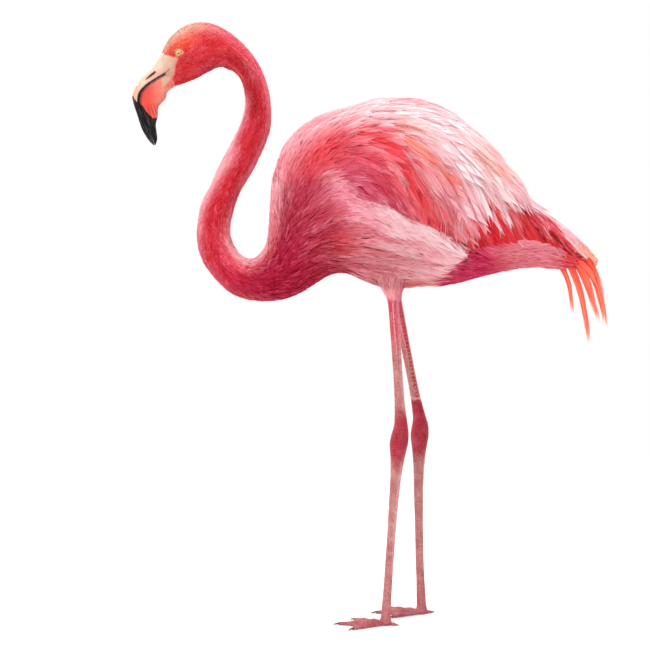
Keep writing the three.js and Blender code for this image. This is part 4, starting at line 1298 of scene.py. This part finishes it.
def makeFeather(kind, number):
    look = featherKinds[kind]
    random = np.random.default_rng(100 * list(featherKinds).index(kind) + number)
    barbs, steps = look["barbs"], look["steps"]
    bow = look["bow"] * random.uniform(-1, 1)
    points, faces, along, across, strand, rise = [], [], [], [], [], []
    for barb in range(barbs):
        middle = -1 + 2 * (barb + 0.5) / barbs
        tip = 1 - look["drop"] * abs(middle) ** 2.4 + look["ragged"] * random.uniform(-1, 0.6)
        start = 0.10 * abs(middle)
        tone = random.uniform(0, 1)
        lift = look["arch"] * (1 - middle * middle) + 0.10 * random.uniform(-1, 1)
        roll = 0.10 * random.uniform(-1, 1)
        stray = 0.10 * random.uniform(-1, 1)
        first = len(points)
        for step in range(steps + 1):
            f = step / steps
            width = look["fan"] + (1 - look["fan"]) * math.sin(min(f / look["full"], 1) * math.pi / 2)
            width *= 1 - 0.22 * max(f - look["full"], 0) / (1 - look["full"])
            x = middle * width + stray * f * f + bow * math.sin(math.pi * f * 0.5)
            y = start + (tip - start) * f
            half = 1.25 / barbs * width * (1 - f ** 4)
            for edge in ([0.0] if step == steps else [-1.0, 1.0]):
                points.append((x + edge * half, y, 0.0))
                rise.append((lift + edge * roll) * math.sin(math.pi * (0.1 + 0.7 * f)))
                along.append(y)
                across.append(middle + edge / barbs)
                strand.append(tone)
        faces += strandFaces(first, steps)
    mesh = bpy.data.meshes.new(f"{kind}Feather{number}")
    mesh.from_pydata(points, [], faces)
    mesh.polygons.foreach_set("use_smooth", [True] * len(faces))
    for name, values in {"along": along, "across": across, "strand": strand, "rise": rise}.items():
        setAttribute(mesh, name, "FLOAT", values)
    return bpy.data.objects.new(mesh.name, mesh)


def makeFeathers():
    sets = {}
    for kind in featherKinds:
        sets[kind] = bpy.data.collections.new(kind + "Feathers")
        for number in range(featherVariants):
            sets[kind].objects.link(makeFeather(kind, number))
    print("feathers:", len(sets), "kinds of", featherVariants)
    return sets


feathers = makeFeathers()


# Feathers strewn over a form and laid flat along it.
def makePlumageNodes():
    tree = bpy.data.node_groups.new("plumageNodes", "GeometryNodeTree")
    ports = {"Form": "Geometry", "Feathers": "Collection", "Finish": "Material", "Seed": "Int", "Sway": "Float",
             "Spread": "Float", "Layers": "Float", "Patch": "Float"}
    for name, kind in ports.items():
        tree.interface.new_socket(name, in_out="INPUT", socket_type="NodeSocket" + kind)
    tree.interface.new_socket("Coat", in_out="OUTPUT", socket_type="NodeSocketGeometry")
    sheet = Wire(tree)
    given = sheet.add("NodeGroupInput")
    form, seed = given.out("Form"), given.out("Seed")

    def read(name, kind="FLOAT"):
        return sheet.add("GeometryNodeInputNamedAttribute", {"data_type": kind}, {"Name": name}, "Attribute")

    def store(shape, name, value, kind="FLOAT", domain="POINT"):
        return sheet.add("GeometryNodeStoreNamedAttribute", {"data_type": kind, "domain": domain},
                         {"Geometry": shape, "Name": name, "Value": value}, "Geometry")

    def chance(shift, low=-1.0, high=1.0, kind="FLOAT"):
        return sheet.add("FunctionNodeRandomValue", {"data_type": kind},
                         {"Min": low, "Max": high, "Seed": seed + shift}, "Value")

    def nearest(value):
        return sheet.add("GeometryNodeSampleNearestSurface", {"data_type": "FLOAT_VECTOR"},
                         {"Mesh": form, "Value": value, "Sample Position": spot}, "Value")

    roots = sheet.add("GeometryNodeDistributePointsOnFaces", {"distribute_method": "RANDOM"},
                      {"Mesh": form, "Density": read("density"), "Seed": seed}, "Points")
    tone = chance(11)
    roots = store(roots, "tone", tone)
    outward, lie = read("outward", "FLOAT_VECTOR"), read("lie", "FLOAT_VECTOR")
    turn = chance(37) * given.out("Sway") * read("sway")
    turned = sheet.add("ShaderNodeVectorRotate", {"rotation_type": "AXIS_ANGLE"},
                       {"Vector": lie, "Axis": outward, "Angle": turn})
    pose = sheet.add("FunctionNodeAxesToRotation", {"primary_axis": "Z", "secondary_axis": "Y"},
                     {"Primary Axis": outward, "Secondary Axis": turned}, "Rotation")
    grow = 1.0 + chance(41) * given.out("Spread")
    half = read("width") * 0.5 * (1.0 + chance(43) * given.out("Spread"))
    size = sheet.add("ShaderNodeCombineXYZ", None, {"X": half, "Y": read("length") * grow, "Z": half})
    kinds = sheet.add("GeometryNodeCollectionInfo", None,
                      {"Collection": given.out("Feathers"), "Separate Children": True, "Reset Children": True},
                      "Instances")
    vanes = sheet.add("GeometryNodeInstanceOnPoints", None, {
        "Points": roots, "Instance": kinds, "Pick Instance": True, "Rotation": pose, "Scale": size,
        "Instance Index": chance(53, 0, featherVariants - 1, "INT")}, "Instances")
    vanes = sheet.add("GeometryNodeRealizeInstances", None, {"Geometry": vanes}, "Geometry")

    spot = sheet.add("GeometryNodeInputPosition")
    along = read("along")
    height = read("lift") * along ** 1.2 - read("sink") * (1.0 - along)
    height = height + read("rise") * read("width") * 0.5 + tone * given.out("Layers")
    laid = sheet.add("GeometryNodeSetPosition", None,
                     {"Geometry": vanes, "Position": nearest(spot) + nearest(outward) * height}, "Geometry")
    local = sheet.add("ShaderNodeCombineXYZ", None, {"X": read("across") * 0.5, "Y": along, "Z": 0.0})
    laid = store(laid, "OFBake", read("unwrap", "FLOAT_VECTOR") + local * given.out("Patch"), "FLOAT2", "CORNER")
    laid = sheet.add("GeometryNodeSetMaterial", None, {"Geometry": laid, "Material": given.out("Finish")}, "Geometry")
    sheet.add("NodeGroupOutput", None, {"Coat": laid})
    print("plumage nodes:", len(tree.nodes))
    return tree


plumageNodes = makePlumageNodes()
keptAttributes = {"position", "marking", "along", "across", "strand", "tone", "frost", "OFBake", "sharp_face",
                  "material_index"}


def setInput(modifier, name, value):
    ports = modifier.node_group.interface.items_tree
    port = next(item for item in ports if item.name == name and item.in_out == "INPUT")
    modifier[port.identifier] = value


# Noise drawn out along the feathers' lie over a grid of points, with spread cells of width, about -2 to 2.
def flowStreaks(points, lie, seed, reach, spread):
    byRow, byColumn = np.gradient(points, axis=0), np.gradient(points, axis=1)
    rr, cc, rc = (np.sum(a * b, axis=-1) for a, b in ((byRow, byRow), (byColumn, byColumn), (byRow, byColumn)))
    lr, lc = np.sum(lie * byRow, axis=-1), np.sum(lie * byColumn, axis=-1)
    area = np.maximum(rr * cc - rc * rc, 1e-3)
    stride = 2.5
    stepRow = np.clip((lr * cc - lc * rc) / area * stride, -2, 2)
    stepColumn = np.clip((lc * rr - lr * rc) / area * stride, -2, 2)
    rows, columns = rr.shape
    grain = np.random.default_rng(seed).normal(size=(rows, columns))
    for _ in range(spread):
        for axis in (0, 1):
            grain = (np.roll(grain, 1, axis) + 2 * grain + np.roll(grain, -1, axis)) / 4
    total = grain.copy()
    for way in (-1, 1):
        row, column = np.meshgrid(np.arange(rows, dtype=float), np.arange(columns, dtype=float), indexing="ij")
        for _ in range(int(reach / stride)):
            i, j = np.clip(row.astype(int), 0, rows - 2), np.clip(column.astype(int), 0, columns - 2)
            row = np.clip(row + way * stepRow[i, j], 0, rows - 1.001)
            column = np.clip(column + way * stepColumn[i, j], 0, columns - 1.001)
            i, j = row.astype(int), column.astype(int)
            f, g = row - i, column - j
            inner, outer = (grain[i, k] * (1 - f) + grain[i + 1, k] * f for k in (j, j + 1))
            total += inner * (1 - g) + outer * g
    return np.clip((total - total.mean()) / total.std(), -2, 2)


# What a coat's feathers do unless its own look says otherwise: how their size varies, how far they lie
# over each other in mm, how large a tuft is on the bake map, how much their tips pale (partly painted highlight), how
# far they may turn, how far tufts stand up in mm, how far off in mm the tips lie, and the streaks of colour.
plumageLook = {
    "spread": 0.2, "layers": 0.3, "patch": 0.003, "frost": 0.5, "sway": 1.0, "relief": 1.0, "reach": 0.0,
    "contrast": 0.75, "tufts": (40.0, 30.0), "span": (0, 99), "inside": 1.0,
}


# A strip of the bird's surface with everything the feathers need to know, one value for each point.
def makeForm(points, place, along, unwrap, look, seed):
    alongRows, alongColumns = np.gradient(points, axis=0), np.gradient(points, axis=1)
    outward = unit(np.cross(alongColumns, alongRows))
    middle = points.mean(axis=1, keepdims=True)
    outward = outward * np.sign(np.sum(outward * (points - middle)))
    values = {**plumageLook, **look, **look["tract"](look, points, place)}
    low, high = values["span"]
    inside = values["inside"] * (place >= low) * (place < high)
    values["density"] = inside * values["crowd"] / (values["length"] * values["width"])
    lie = values["lie"] if "lie" in values else lieOf(points, outward, along, place)
    seen = points + lie * (values["reach"] * np.ones_like(place))[..., None]  # where the tips show
    marks = dict(zip(("colour", "pale", "deep"), plumageMarks(seen, place)))
    colour, pale, deep = (values.get(key, mark) for key, mark in marks.items())
    longTuft, longStreak = values["tufts"]
    tuft = flowStreaks(points, lie, seed + 500, longTuft, 3)
    streak = 0.6 * tuft + 0.8 * flowStreaks(points, lie, seed + 600, longStreak, 0)
    lighter, darker = ((values["contrast"] * smoothStep(0.0, 1.8, way * streak))[..., None] for way in (1, -1))
    colour = colour * (1 - lighter - darker) + pale * lighter + deep * darker
    form = makeMesh("form", points + outward * (tuft * values["relief"])[..., None], gridFaces(*place.shape))
    for key, value in {"outward": outward, "lie": lie, "unwrap": unwrap}.items():
        setAttribute(form.data, key, "FLOAT_VECTOR", value)
    setAttribute(form.data, "marking", "FLOAT_COLOR", colour)
    for key in ("density", "length", "width", "lift", "sink", "sway", "frost"):
        size = mm if key in ("length", "width", "lift", "sink") else 1
        setAttribute(form.data, key, "FLOAT", values[key] * size * np.ones_like(place))
    return form


# The form of a coat on the body. side is 0 for a full ring.
def bodyForm(look, side, seed):
    low, high, columns = look.get("angles", (-math.pi, math.pi, 97))
    points, t, a = bodyGrid(np.linspace(*look["places"]), np.linspace(low, high, columns) * (side or 1), look["inset"])
    along = np.gradient(bodyPoint(t, a), axis=0)
    share = (t - t.min()) / (t.max() - t.min())
    unwrap = np.stack([0.5 + a / (2 * math.pi) * 0.94, 0.02 + share * 0.94, 0 * t], axis=-1)
    return makeForm(points, t, along, unwrap, look, seed)


def growCoat(name, look, side, finish):
    formSeed, seed = (start + side for start in look["seeds"])
    form = look.get("form", bodyForm)(look, side, formSeed)
    modifier = form.modifiers.new("plumage", "NODES")
    modifier.node_group = plumageNodes
    for port, value in {"Feathers": feathers[look["feather"]], "Finish": finish, "Seed": seed, "Sway": look["turn"],
                        "Spread": plumageLook["spread"], "Layers": plumageLook["layers"] * mm,
                        "Patch": plumageLook["patch"]}.items():
        setInput(modifier, port, value)
    mesh = evaluatedMesh(form)
    form.modifiers.remove(modifier)
    bpy.data.objects.remove(form)
    for spare in [a.name for a in mesh.attributes if a.name not in keptAttributes and not a.name.startswith(".")]:
        mesh.attributes.remove(mesh.attributes[spare])
    coat = bpy.data.objects.new(name, mesh)
    scene.collection.objects.link(coat)
    sideEnd = {-1: "_left", 1: "_right"}.get(side, "")
    settle(coat, look["slot"], *[node + sideEnd if node in ("wing", "thigh") else node for node in look["nodes"]])


# How pale the tips are, partly painted highlight on lit tips, and how deep the roots are, painted shade under
# overlapping feathers; streaks between barbs, speckle between feathers.
plumageFinishes = {
    "downyPlumage": {"tip": 0.5, "root": 0.25, "streaks": 0.75, "speckle": 0.6, "sheen": 0.08, "paleGamma": 0.70},
    "vanedPlumage": {"tip": 0.8, "root": 0.40, "streaks": 0.55, "speckle": 0.27, "sheen": 0.3, "paleGamma": 0.66},
    "plumeVanes": {"tip": 0.6, "root": 0.2, "streaks": 0.8, "speckle": 0.27, "sheen": 0.3, "paleGamma": 0.75},
}


def makePlumageMaterial(kind, suffix=""):
    look = plumageFinishes[kind]
    material, sheet = newMaterial(kind + suffix)
    marking = readMark(sheet, "marking", "Color")
    marks = ("along", "across", "strand", "tone", "frost")
    along, across, strand, tone, frost = (readMark(sheet, each) for each in marks)
    line = sheet.add("ShaderNodeCombineXYZ", None, {"X": across * 26.0, "Y": along * 2.5, "Z": tone * 40.0})
    barbs = noise(sheet, line, 1.0, 2.0)
    deep = gamma(sheet, marking, 1.55)
    pale = gamma(sheet, marking, look["paleGamma"]).mixed(0.03, shade(1.0, 0.66, 0.64))
    # Darker towards each feather's root: painted shade under the feathers that lie over it; darker along random barbs
    # too.
    darker = (1.0 - along.between(0.15, 0.75)) * look["root"] + (0.5 - strand).clamped() * look["streaks"]
    darker = darker + (0.0 - tone).clamped() * look["speckle"] + barbs.between(0.52, 0.75) * 0.35
    # Paler towards the tip: partly the feathers' own pale tips, partly painted highlight.
    lighter = along * along * frost * (0.35 + strand * look["tip"]) + (strand - 0.55).clamped() * look["streaks"]
    lighter = lighter + tone.clamped() * look["speckle"] + barbs.between(0.46, 0.28) * 0.3
    colour = marking.mixed(darker.clamped(), deep).mixed(lighter.clamped(), pale)
    # A faint glow of the deep colour lightens the shade between feathers: painted light, with no lamp there.
    finishMaterial(sheet, {"Base Color": colour, "Roughness": 0.62 + 0.15 * barbs, "Specular IOR Level": 0.10,
                           "Normal": bump(sheet, barbs, 0.25, 0.0003), "Sheen Weight": look["sheen"],
                           "Sheen Roughness": 0.3, "Sheen Tint": shade(1.0, 0.42, 0.40),
                           "Emission Color": deep, "Emission Strength": 0.07})
    return material


# Length and width of the feathers read from a coat's look.
def sizesAlong(look, value):
    return {"length": np.interp(value, *look["lengths"]), "width": np.interp(value, *look["widths"])}


# Each coat has its form's places and angles with how many rows and columns, the span of places that bear
# feathers, the depth of the roots, and the seeds of the form and the feathers. Lengths are in mm.
headCoat = {
    "places": (0.1, 5.7, 160), "span": (0, 5.4), "inset": 0.75, "seeds": (1, 3), "feather": "down", "turn": 0.3,
    "slot": "neck_plumage", "nodes": ["head", "neck_1"], "crowd": 6.4e6, "sink": 0.9, "relief": 0.15,
    "tufts": (12.0, 9.0), "frost": 0.3, "lengths": ([0, 2, 4, 5.6], [3.4, 4.6, 6.5, 8.0]),
    "widths": ([0, 2, 4, 5.6], [1.1, 1.4, 1.7, 1.9]), "lifts": ([0, 3, 5.6], [0.7, 1.1, 1.7]),
}


def headTract(look, points, place):
    bare = smoothStep(0.3, 0.7, bareFace(points) * (points[..., 2] > 800))
    return {"inside": 1 - bare, "lift": np.interp(place, *look["lifts"]), **sizesAlong(look, place)}


neckCoat = {
    "feather": "down", "turn": 0.3, "slot": "neck_plumage", "crowd": 8.5e6, "lift": 1.7, "sink": 1.2, "relief": 0.4,
    "tufts": (18.0, 12.0), "frost": 0.4, "lengths": ([4, 9, 14, 18], [8.0, 10.0, 12.0, 14.0]),
    "widths": ([4, 9, 14, 18], [1.8, 2.1, 2.4, 2.8]),
}
neckCoatUpper = {**neckCoat, "places": (4.9, 12.2, 190), "span": (5.2, 11.3), "inset": 0.55, "seeds": (2, 5),
                 "nodes": ["neck_1", "neck_2", "neck_3"]}
neckCoatLower = {**neckCoat, "places": (10.8, 19.0, 200), "span": (11.2, 17.6), "inset": 0.5, "seeds": (3, 7),
                 "nodes": ["neck_3", "neck_4", "neck_5"]}


def neckTract(look, points, place):
    return sizesAlong(look, place)


breastCoat = {
    "places": (16.9, 25.6, 200), "angles": (-0.35, math.pi + 0.35, 106), "span": (17.2, 24.3), "inset": 0.5,
    "seeds": (4, 9), "feather": "soft", "turn": 0.22, "slot": "body_plumage", "nodes": ["neck_5", "trunk"],
    "crowd": 5.4e6, "lift": 1.9, "sink": 2.0, "reliefs": ([17, 24], [0.4, 1.1]), "tufts": (30.0, 20.0), "frost": 0.35,
    "lengths": ([17, 20, 23, 26], [14, 18, 23, 27]), "widths": ([17, 20, 23, 26], [2.6, 3.2, 4.0, 4.6]),
}


def breastTract(look, points, place):
    y = points[..., 1]
    return {"inside": y * np.sign(y.mean()) > -0.5, "relief": np.interp(place, *look["reliefs"]),
            **sizesAlong(look, place)}


flankCoat = {
    "places": (23.4, 33.2, 200), "angles": (0.5, math.pi, 110), "span": (23.9, 99), "inset": 0.4, "seeds": (12, 11),
    "feather": "soft", "turn": 0.2, "slot": "body_plumage", "nodes": ["trunk"], "crowd": 7.5e6, "length": 30.0,
    "width": 4.4, "lift": 1.8, "sink": 2.5, "relief": 1.5, "tufts": (45.0, 30.0), "frost": 0.6, "reach": 16.0,
}


def flankTract(look, points, place):
    x, z = points[..., 0], points[..., 2]
    inside = (belowWing(points) > 1.5) & (behindFlank(points) < -23) | (x < -53) & (z < 745)
    return {"inside": inside, "sway": 1.0 + 0.6 * smoothStep(-20, 120, x)}


ventCoat = {
    "places": (28.0, 36.9, 160), "angles": (0.8, math.pi, 80), "inset": 0.4, "seeds": (22, 21), "feather": "soft",
    "turn": 0.25, "slot": "body_plumage", "nodes": ["trunk", "tail"], "crowd": 7.5e6, "width": 4.6, "lift": 2.0,
    "sink": 2.0, "relief": 1.2, "tufts": (40.0, 25.0), "reach": 18.0, "lengths": ([100, 300], [30, 22]),
}


def ventTract(look, points, place):
    x = points[..., 0]
    inside = (x > 150) & (above(points, ventLine) < 0) | (belowWing(points) > -2)
    return {"inside": inside & (behindFlank(points) > -27) & (x > 80) & (x < 330),
            "length": np.interp(x, *look["lengths"])}


quillCoat = {
    "places": (29.0, 37.0, 150), "angles": (0.0, math.pi, 110), "span": (0, 36.95), "inset": 0.6, "seeds": (32, 31),
    "feather": "quill", "turn": 0.12, "slot": "wing_plumage", "nodes": ["wing", "tail"], "crowd": 5.4e6, "width": 8.0,
    "lift": 1.6, "sink": 1.0, "sway": 0.4, "frost": 0.3, "relief": 0.6, "tufts": (80.0, 60.0),
    "lengths": ([110, 140, 230, 330, 352, 372], [50, 70, 100, 50, 28, 12]),
    "top": ([118, 150, 190, 215, 235], [680, 735, 765, 790, 900]),  # the upper edge, x and z
}


# Red flight feathers below a painted shadow line, and a stripe of rose and peach ones above it.
def quillTract(look, points, place):
    x, z = points[..., 0], points[..., 2]
    overVent, overLine = above(points, ventLine), above(points, tertialLine)
    full = np.interp(x, *look["lengths"])
    colour = layTones(
        rampTones(x, [(150, "scarlet"), (270, "scarlet"), (310, "coral"), (340, "orange")]),
        ("blood", 0.95 * spotAt(x, z, (168, 631), (25, 14))),
        ("blood", 0.8 * spotAt(x, z, (148, 666), (16, 15))),
        ("pink", 0.8 * spotAt(x, z, (200, 718), (11, 14))))
    stripe = rampTones(x, [(225, "rose"), (260, "rose"), (300, "coral"), (360, "coral")])
    outer = rampTones(x, [(225, "pink"), (250, "blush"), (300, "blush"), (340, "peach")])
    stripe = mixColour(stripe, outer, smoothStep(9, 16, overLine - 3 * smoothStep(285, 255, x)))
    colour = mixColour(colour, stripe, smoothStep(0, 3, overLine) * smoothStep(222, 235, x))
    # Painted shadow along the line under the pale stripe.
    shadow = np.exp(-((overLine + 1.0) / 4.2) ** 2) * smoothStep(222, 240, x)
    colour = dimmed(colour, (0.65, 0.85, 0.80), shadow)
    colour = layTones(colour, ("peach", smoothStep(358, 369, x)))
    return {"inside": (x > 118) & ((overVent > 2) | (x > 318)) & (z < np.interp(x, *look["top"])),
            "length": np.where(x < 300, np.clip(12 + 1.5 * overVent, 12, full), full),
            "colour": colour, "pale": colour ** 0.72, "deep": colour ** 1.4}


covertCoat = {
    "places": (23.4, 35.5, 240), "angles": (0.0, 2.6, 130), "span": (23.9, 99), "inset": 0.42, "seeds": (42, 41),
    "feather": "covert", "turn": 0.2, "slot": "wing_plumage", "nodes": ["wing", "trunk"], "crowd": 8.0e6, "lift": 2.0,
    "sink": 2.5, "sway": 0.9, "relief": 1.4, "tufts": (60.0, 40.0), "lengths": ([-150, -80, -20, 60], [20, 30, 46, 58]),
    "widths": ([16, 30, 58], [5, 6.5, 9]), "contrasts": ([20, 90], [0.75, 0.4]),
    "bottom": ([-60, -45, 10, 45], [-4, -16, -16, 2]),  # the lower edge, x and how far over the wing's line
    "rear": ([105, 120, 150, 190, 215, 235], [600, 646, 692, 692, 714, 742]),
}


def covertTract(look, points, place):
    x, z = points[..., 0], points[..., 2]
    over = -belowWing(points)
    inside = (x < -53) & (z >= 732) | (x >= -53) & (over > np.interp(x, *look["bottom"]))
    full = np.interp(x, *look["lengths"])
    length = np.where(x > -53, np.clip(16 + 1.3 * over, 16, full), full)
    return {"inside": inside & (z > np.interp(x, *look["rear"])) & (x < 238), "length": length,
            "width": np.interp(length, *look["widths"]), "contrast": np.interp(x, *look["contrasts"]),
            "frost": 0.6 - 0.45 * spotAt(x, z, (-20, 755), (45, 30)),
            "reach": np.where(x > -53, np.minimum(0.55 * length, 0.75 * np.maximum(over, 0)), 0.55 * length)}


drapeCoat = {
    "places": (24.5, 36.4, 220), "angles": (0.0, 2.6, 120), "inset": 0.25, "seeds": (52, 51), "feather": "drape",
    "turn": 0.16, "slot": "wing_plumage", "nodes": ["wing"], "crowd": 6.8e6, "lift": 3.0, "sink": 1.0, "sway": 0.8,
    "relief": 1.4, "tufts": (70.0, 50.0), "frost": 0.6, "contrast": 0.35,
    "lengths": ([-30, 20, 90, 180, 220], [60, 84, 108, 106, 98]), "widths": ([-30, 20, 90, 180], [12, 17, 22, 23]),
    "bottom": ([60, 100, 152, 184, 209, 228], [715, 730, 742, 741, 752, 770]),
}


def drapeTract(look, points, place):
    x, z = points[..., 0], points[..., 2]
    inside = smoothStep(0, 20, bandDistance(x, z)) * (x > -30) * (z > np.interp(x, *look["bottom"])) * (x < 232)
    sizes = sizesAlong(look, x)
    return {"inside": inside, "reach": 0.6 * sizes["length"], **sizes}


cuffCoat = {
    "seeds": (70, 61), "feather": "soft", "turn": 0.15, "slot": "body_plumage", "nodes": ["thigh"], "crowd": 6.0e6,
    "length": 15, "width": 2.8, "lift": 1.0, "sink": 1.5, "relief": 0.6, "tufts": (12.0, 9.0), "lowest": 546,
    # Height, half depth and half width.
    "profile": [(530, 9.6, 9.0), (540, 11, 10.5), (548, 13.5, 12.8), (557, 17.5, 16), (572, 25, 22), (600, 34, 28)],
}


# Small tufts that hang round the top of the bare leg.
def cuffForm(look, side, seed):
    course = legCourses["left" if side < 0 else "right"][1]
    h, a = np.meshgrid(np.linspace(600, 536, 24), np.linspace(0, 2 * math.pi, 41), indexing="ij")
    profile = np.array(look["profile"])
    depth, width = (np.interp(h, profile[:, 0], profile[:, k]) - 1.2 for k in (1, 2))
    points = np.stack([legMiddle(course, h) + depth * np.cos(a), side * legSpread + width * np.sin(a), h], axis=-1)
    unwrap = np.stack([0.03 + a / (2 * math.pi) * 0.94, 0.03 + (600 - h) / 64 * 0.94, 0 * h], axis=-1)
    return makeForm(points, np.full_like(h, 28.0), np.gradient(points, axis=0), unwrap, look, seed)


def cuffTract(look, points, place):
    h = points[..., 2]
    colour = layTones(
        plain("pink", h.shape),
        ("blush", np.full(h.shape, 0.3)),
        # Painted shade at the top of the cuff, under the belly.
        ("shadedPink", 0.7 * smoothStep(562, 574, h)),
        ("magenta", 0.8 * smoothStep(556, 546, h)))
    return {"inside": h > look["lowest"], "lie": np.array([0.0, 0.0, -1.0]) + 0 * points, "colour": colour,
            "pale": colour ** 0.6, "deep": colour ** 1.4}


def makeCoats():
    fine, broad = makePlumageMaterial("downyPlumage"), makePlumageMaterial("vanedPlumage")
    growCoat("headCoat", {**headCoat, "tract": headTract}, 0, fine)
    growCoat("neckCoatUpper", {**neckCoatUpper, "tract": neckTract}, 0, fine)
    growCoat("neckCoatLower", {**neckCoatLower, "tract": neckTract}, 0, fine)
    for name, side in sides.items():
        growCoat("breastCoat" + name, {**breastCoat, "tract": breastTract}, side, fine)
        growCoat("flankCoat" + name, {**flankCoat, "tract": flankTract}, side, broad)
        growCoat("ventCoat" + name, {**ventCoat, "tract": ventTract}, side, broad)
        growCoat("quillCoat" + name, {**quillCoat, "tract": quillTract}, side, broad)
        growCoat("covertCoat" + name, {**covertCoat, "tract": covertTract}, side, broad)
        growCoat("drapeCoat" + name, {**drapeCoat, "tract": drapeTract}, side, broad)
        growCoat("cuffCoat" + name, {**cuffCoat, "tract": cuffTract, "form": cuffForm}, side, fine)


makeCoats()


# Long ragged feathers that droop from the wing tips: x and z along each, half width, strands.
plumeLook = {
    "wisps": [
        ([(291, 622), (309, 602), (327, 563), (335, 510)], 4.6, 26),
        ([(284, 645), (318, 612), (341, 566), (354, 515), (362, 459)], 5.6, 36),
        ([(300, 634), (338, 602), (358, 563), (379, 494)], 7.0, 40),
        ([(312, 640), (352, 607), (375, 560), (391, 487)], 7.0, 42),
        ([(316, 632), (342, 604), (361, 584), (373, 556)], 4.5, 24),
    ],
    "steps": 12, "thick": 0.62, "frost": 0.3,
}


# Scarlet at the roots, orange below them and peach at the tips.
def plumeTone(along, tint):
    blend = 0.06 + 0.34 * smoothStep(0.35, 1.0, along + 0.3 * (tint - 0.5))
    rooted = (0.55 + 0.4 * tint) * smoothStep(0.68, 0.15, along)
    return mixColour(mixColour(tones["orange"], tones["scarlet"], rooted), tones["peach"], blend)


def makePlumes(side, name, finish):
    random = np.random.default_rng(90 + side)
    steps = plumeLook["steps"]
    points, faces, colours, alongs, acrosses, strands, corners = [], [], [], [], [], [], []
    for number, (line, half, count) in enumerate(plumeLook["wisps"]):
        line = np.array(line, float)
        last = len(line) - 1
        spread = side * (6 + 3.0 * number + random.uniform(-1, 1))
        for strand in range(count):
            offset = -1 + 2 * (strand + 0.5) / count
            start = 0.12 * random.uniform(0, 1) if strand % 3 else 0.45 * random.uniform(0, 1)
            end = 1.0 - 0.36 * abs(offset) * random.uniform(0.2, 1) - 0.03 * random.uniform(0, 1)
            deeper = random.uniform(-1, 1)
            stray = random.uniform(-1, 1) * 1.6
            tint = random.uniform(0, 1)
            faces += strandFaces(len(points), steps)
            for step in range(steps + 1):
                f = step / steps
                along = start + (end - start) * f
                ahead = unit(smoothAt(line, min(along + 0.02, 1) * last) - smoothAt(line, (along - 0.02) * last))
                aside = np.array([ahead[1], -ahead[0]])
                reach = half * (0.35 + 0.65 * math.sin(math.pi * min(0.15 + along * 0.75, 1))) * (1 - 0.55 * along ** 2)
                centre = smoothAt(line, along * last) + aside * (offset * reach + stray * f * f)
                thick = plumeLook["thick"] * (1 - 0.75 * f ** 2)
                y = spread * (1 + 0.3 * along)
                y += side * (2.4 * math.cos(offset * 1.5) * (1 - 0.5 * along) + 0.8 * deeper)
                for edge in ([0.0] if step == steps else [-1.0, 1.0]):
                    x, z = centre + aside * thick * edge
                    points.append((x, y + 0.25 * edge, z))
                    colours.append(plumeTone(along, tint))
                    alongs.append(along)
                    acrosses.append(offset)
                    strands.append(tint)
                    corners.append((0.1 + 0.16 * number + plumageLook["patch"] * (offset * 0.5),
                                    0.5 + 0.3 * side + plumageLook["patch"] * along))
    piece = makeMesh("plumes" + name, points, faces, finish)
    mesh = piece.data
    setAttribute(mesh, "marking", "FLOAT_COLOR", colours)
    for key, values in {"along": alongs, "across": acrosses, "strand": strands, "tone": np.array(strands) * 2 - 1,
                        "frost": np.full(len(points), plumeLook["frost"])}.items():
        setAttribute(mesh, key, "FLOAT", values)
    bake = mesh.uv_layers.new(name="OFBake")
    loops = np.zeros(len(mesh.loops), int)
    mesh.loops.foreach_get("vertex_index", loops)
    bake.data.foreach_set("uv", np.array(corners)[loops].astype(np.float32).ravel())
    settle(piece, "red_plumes", "plumes_" + name.lower())


for sideName, sideSign in sides.items():
    makePlumes(sideSign, sideName, makePlumageMaterial("plumeVanes", sideName))


floorLook = {"edge": 2500, "colour": shade(0.93, 0.92, 0.92), "fade": (0.7, 1.9)}  # it fades out between these radii


def makeFloor():
    material, sheet = newMaterial("paleFloor")
    place = objectPlace(sheet)
    radius = sheet.add("ShaderNodeVectorMath", {"operation": "LENGTH"}, {0: place}, output="Value")
    finishMaterial(sheet, {"Base Color": floorLook["colour"], "Roughness": 0.85 + 0.1 * noise(sheet, place, 3.0, 2.0),
                           "Alpha": 1.0 - radius.between(*floorLook["fade"]), "Specular IOR Level": 0.1})
    edge = floorLook["edge"]
    corners = [(-edge, -edge, 0), (edge, -edge, 0), (edge, edge, 0), (-edge, edge, 0)]
    makeMesh("floor", corners, [[0, 1, 2, 3]], material, smooth=False)
    print("floor: laid")


makeFloor()
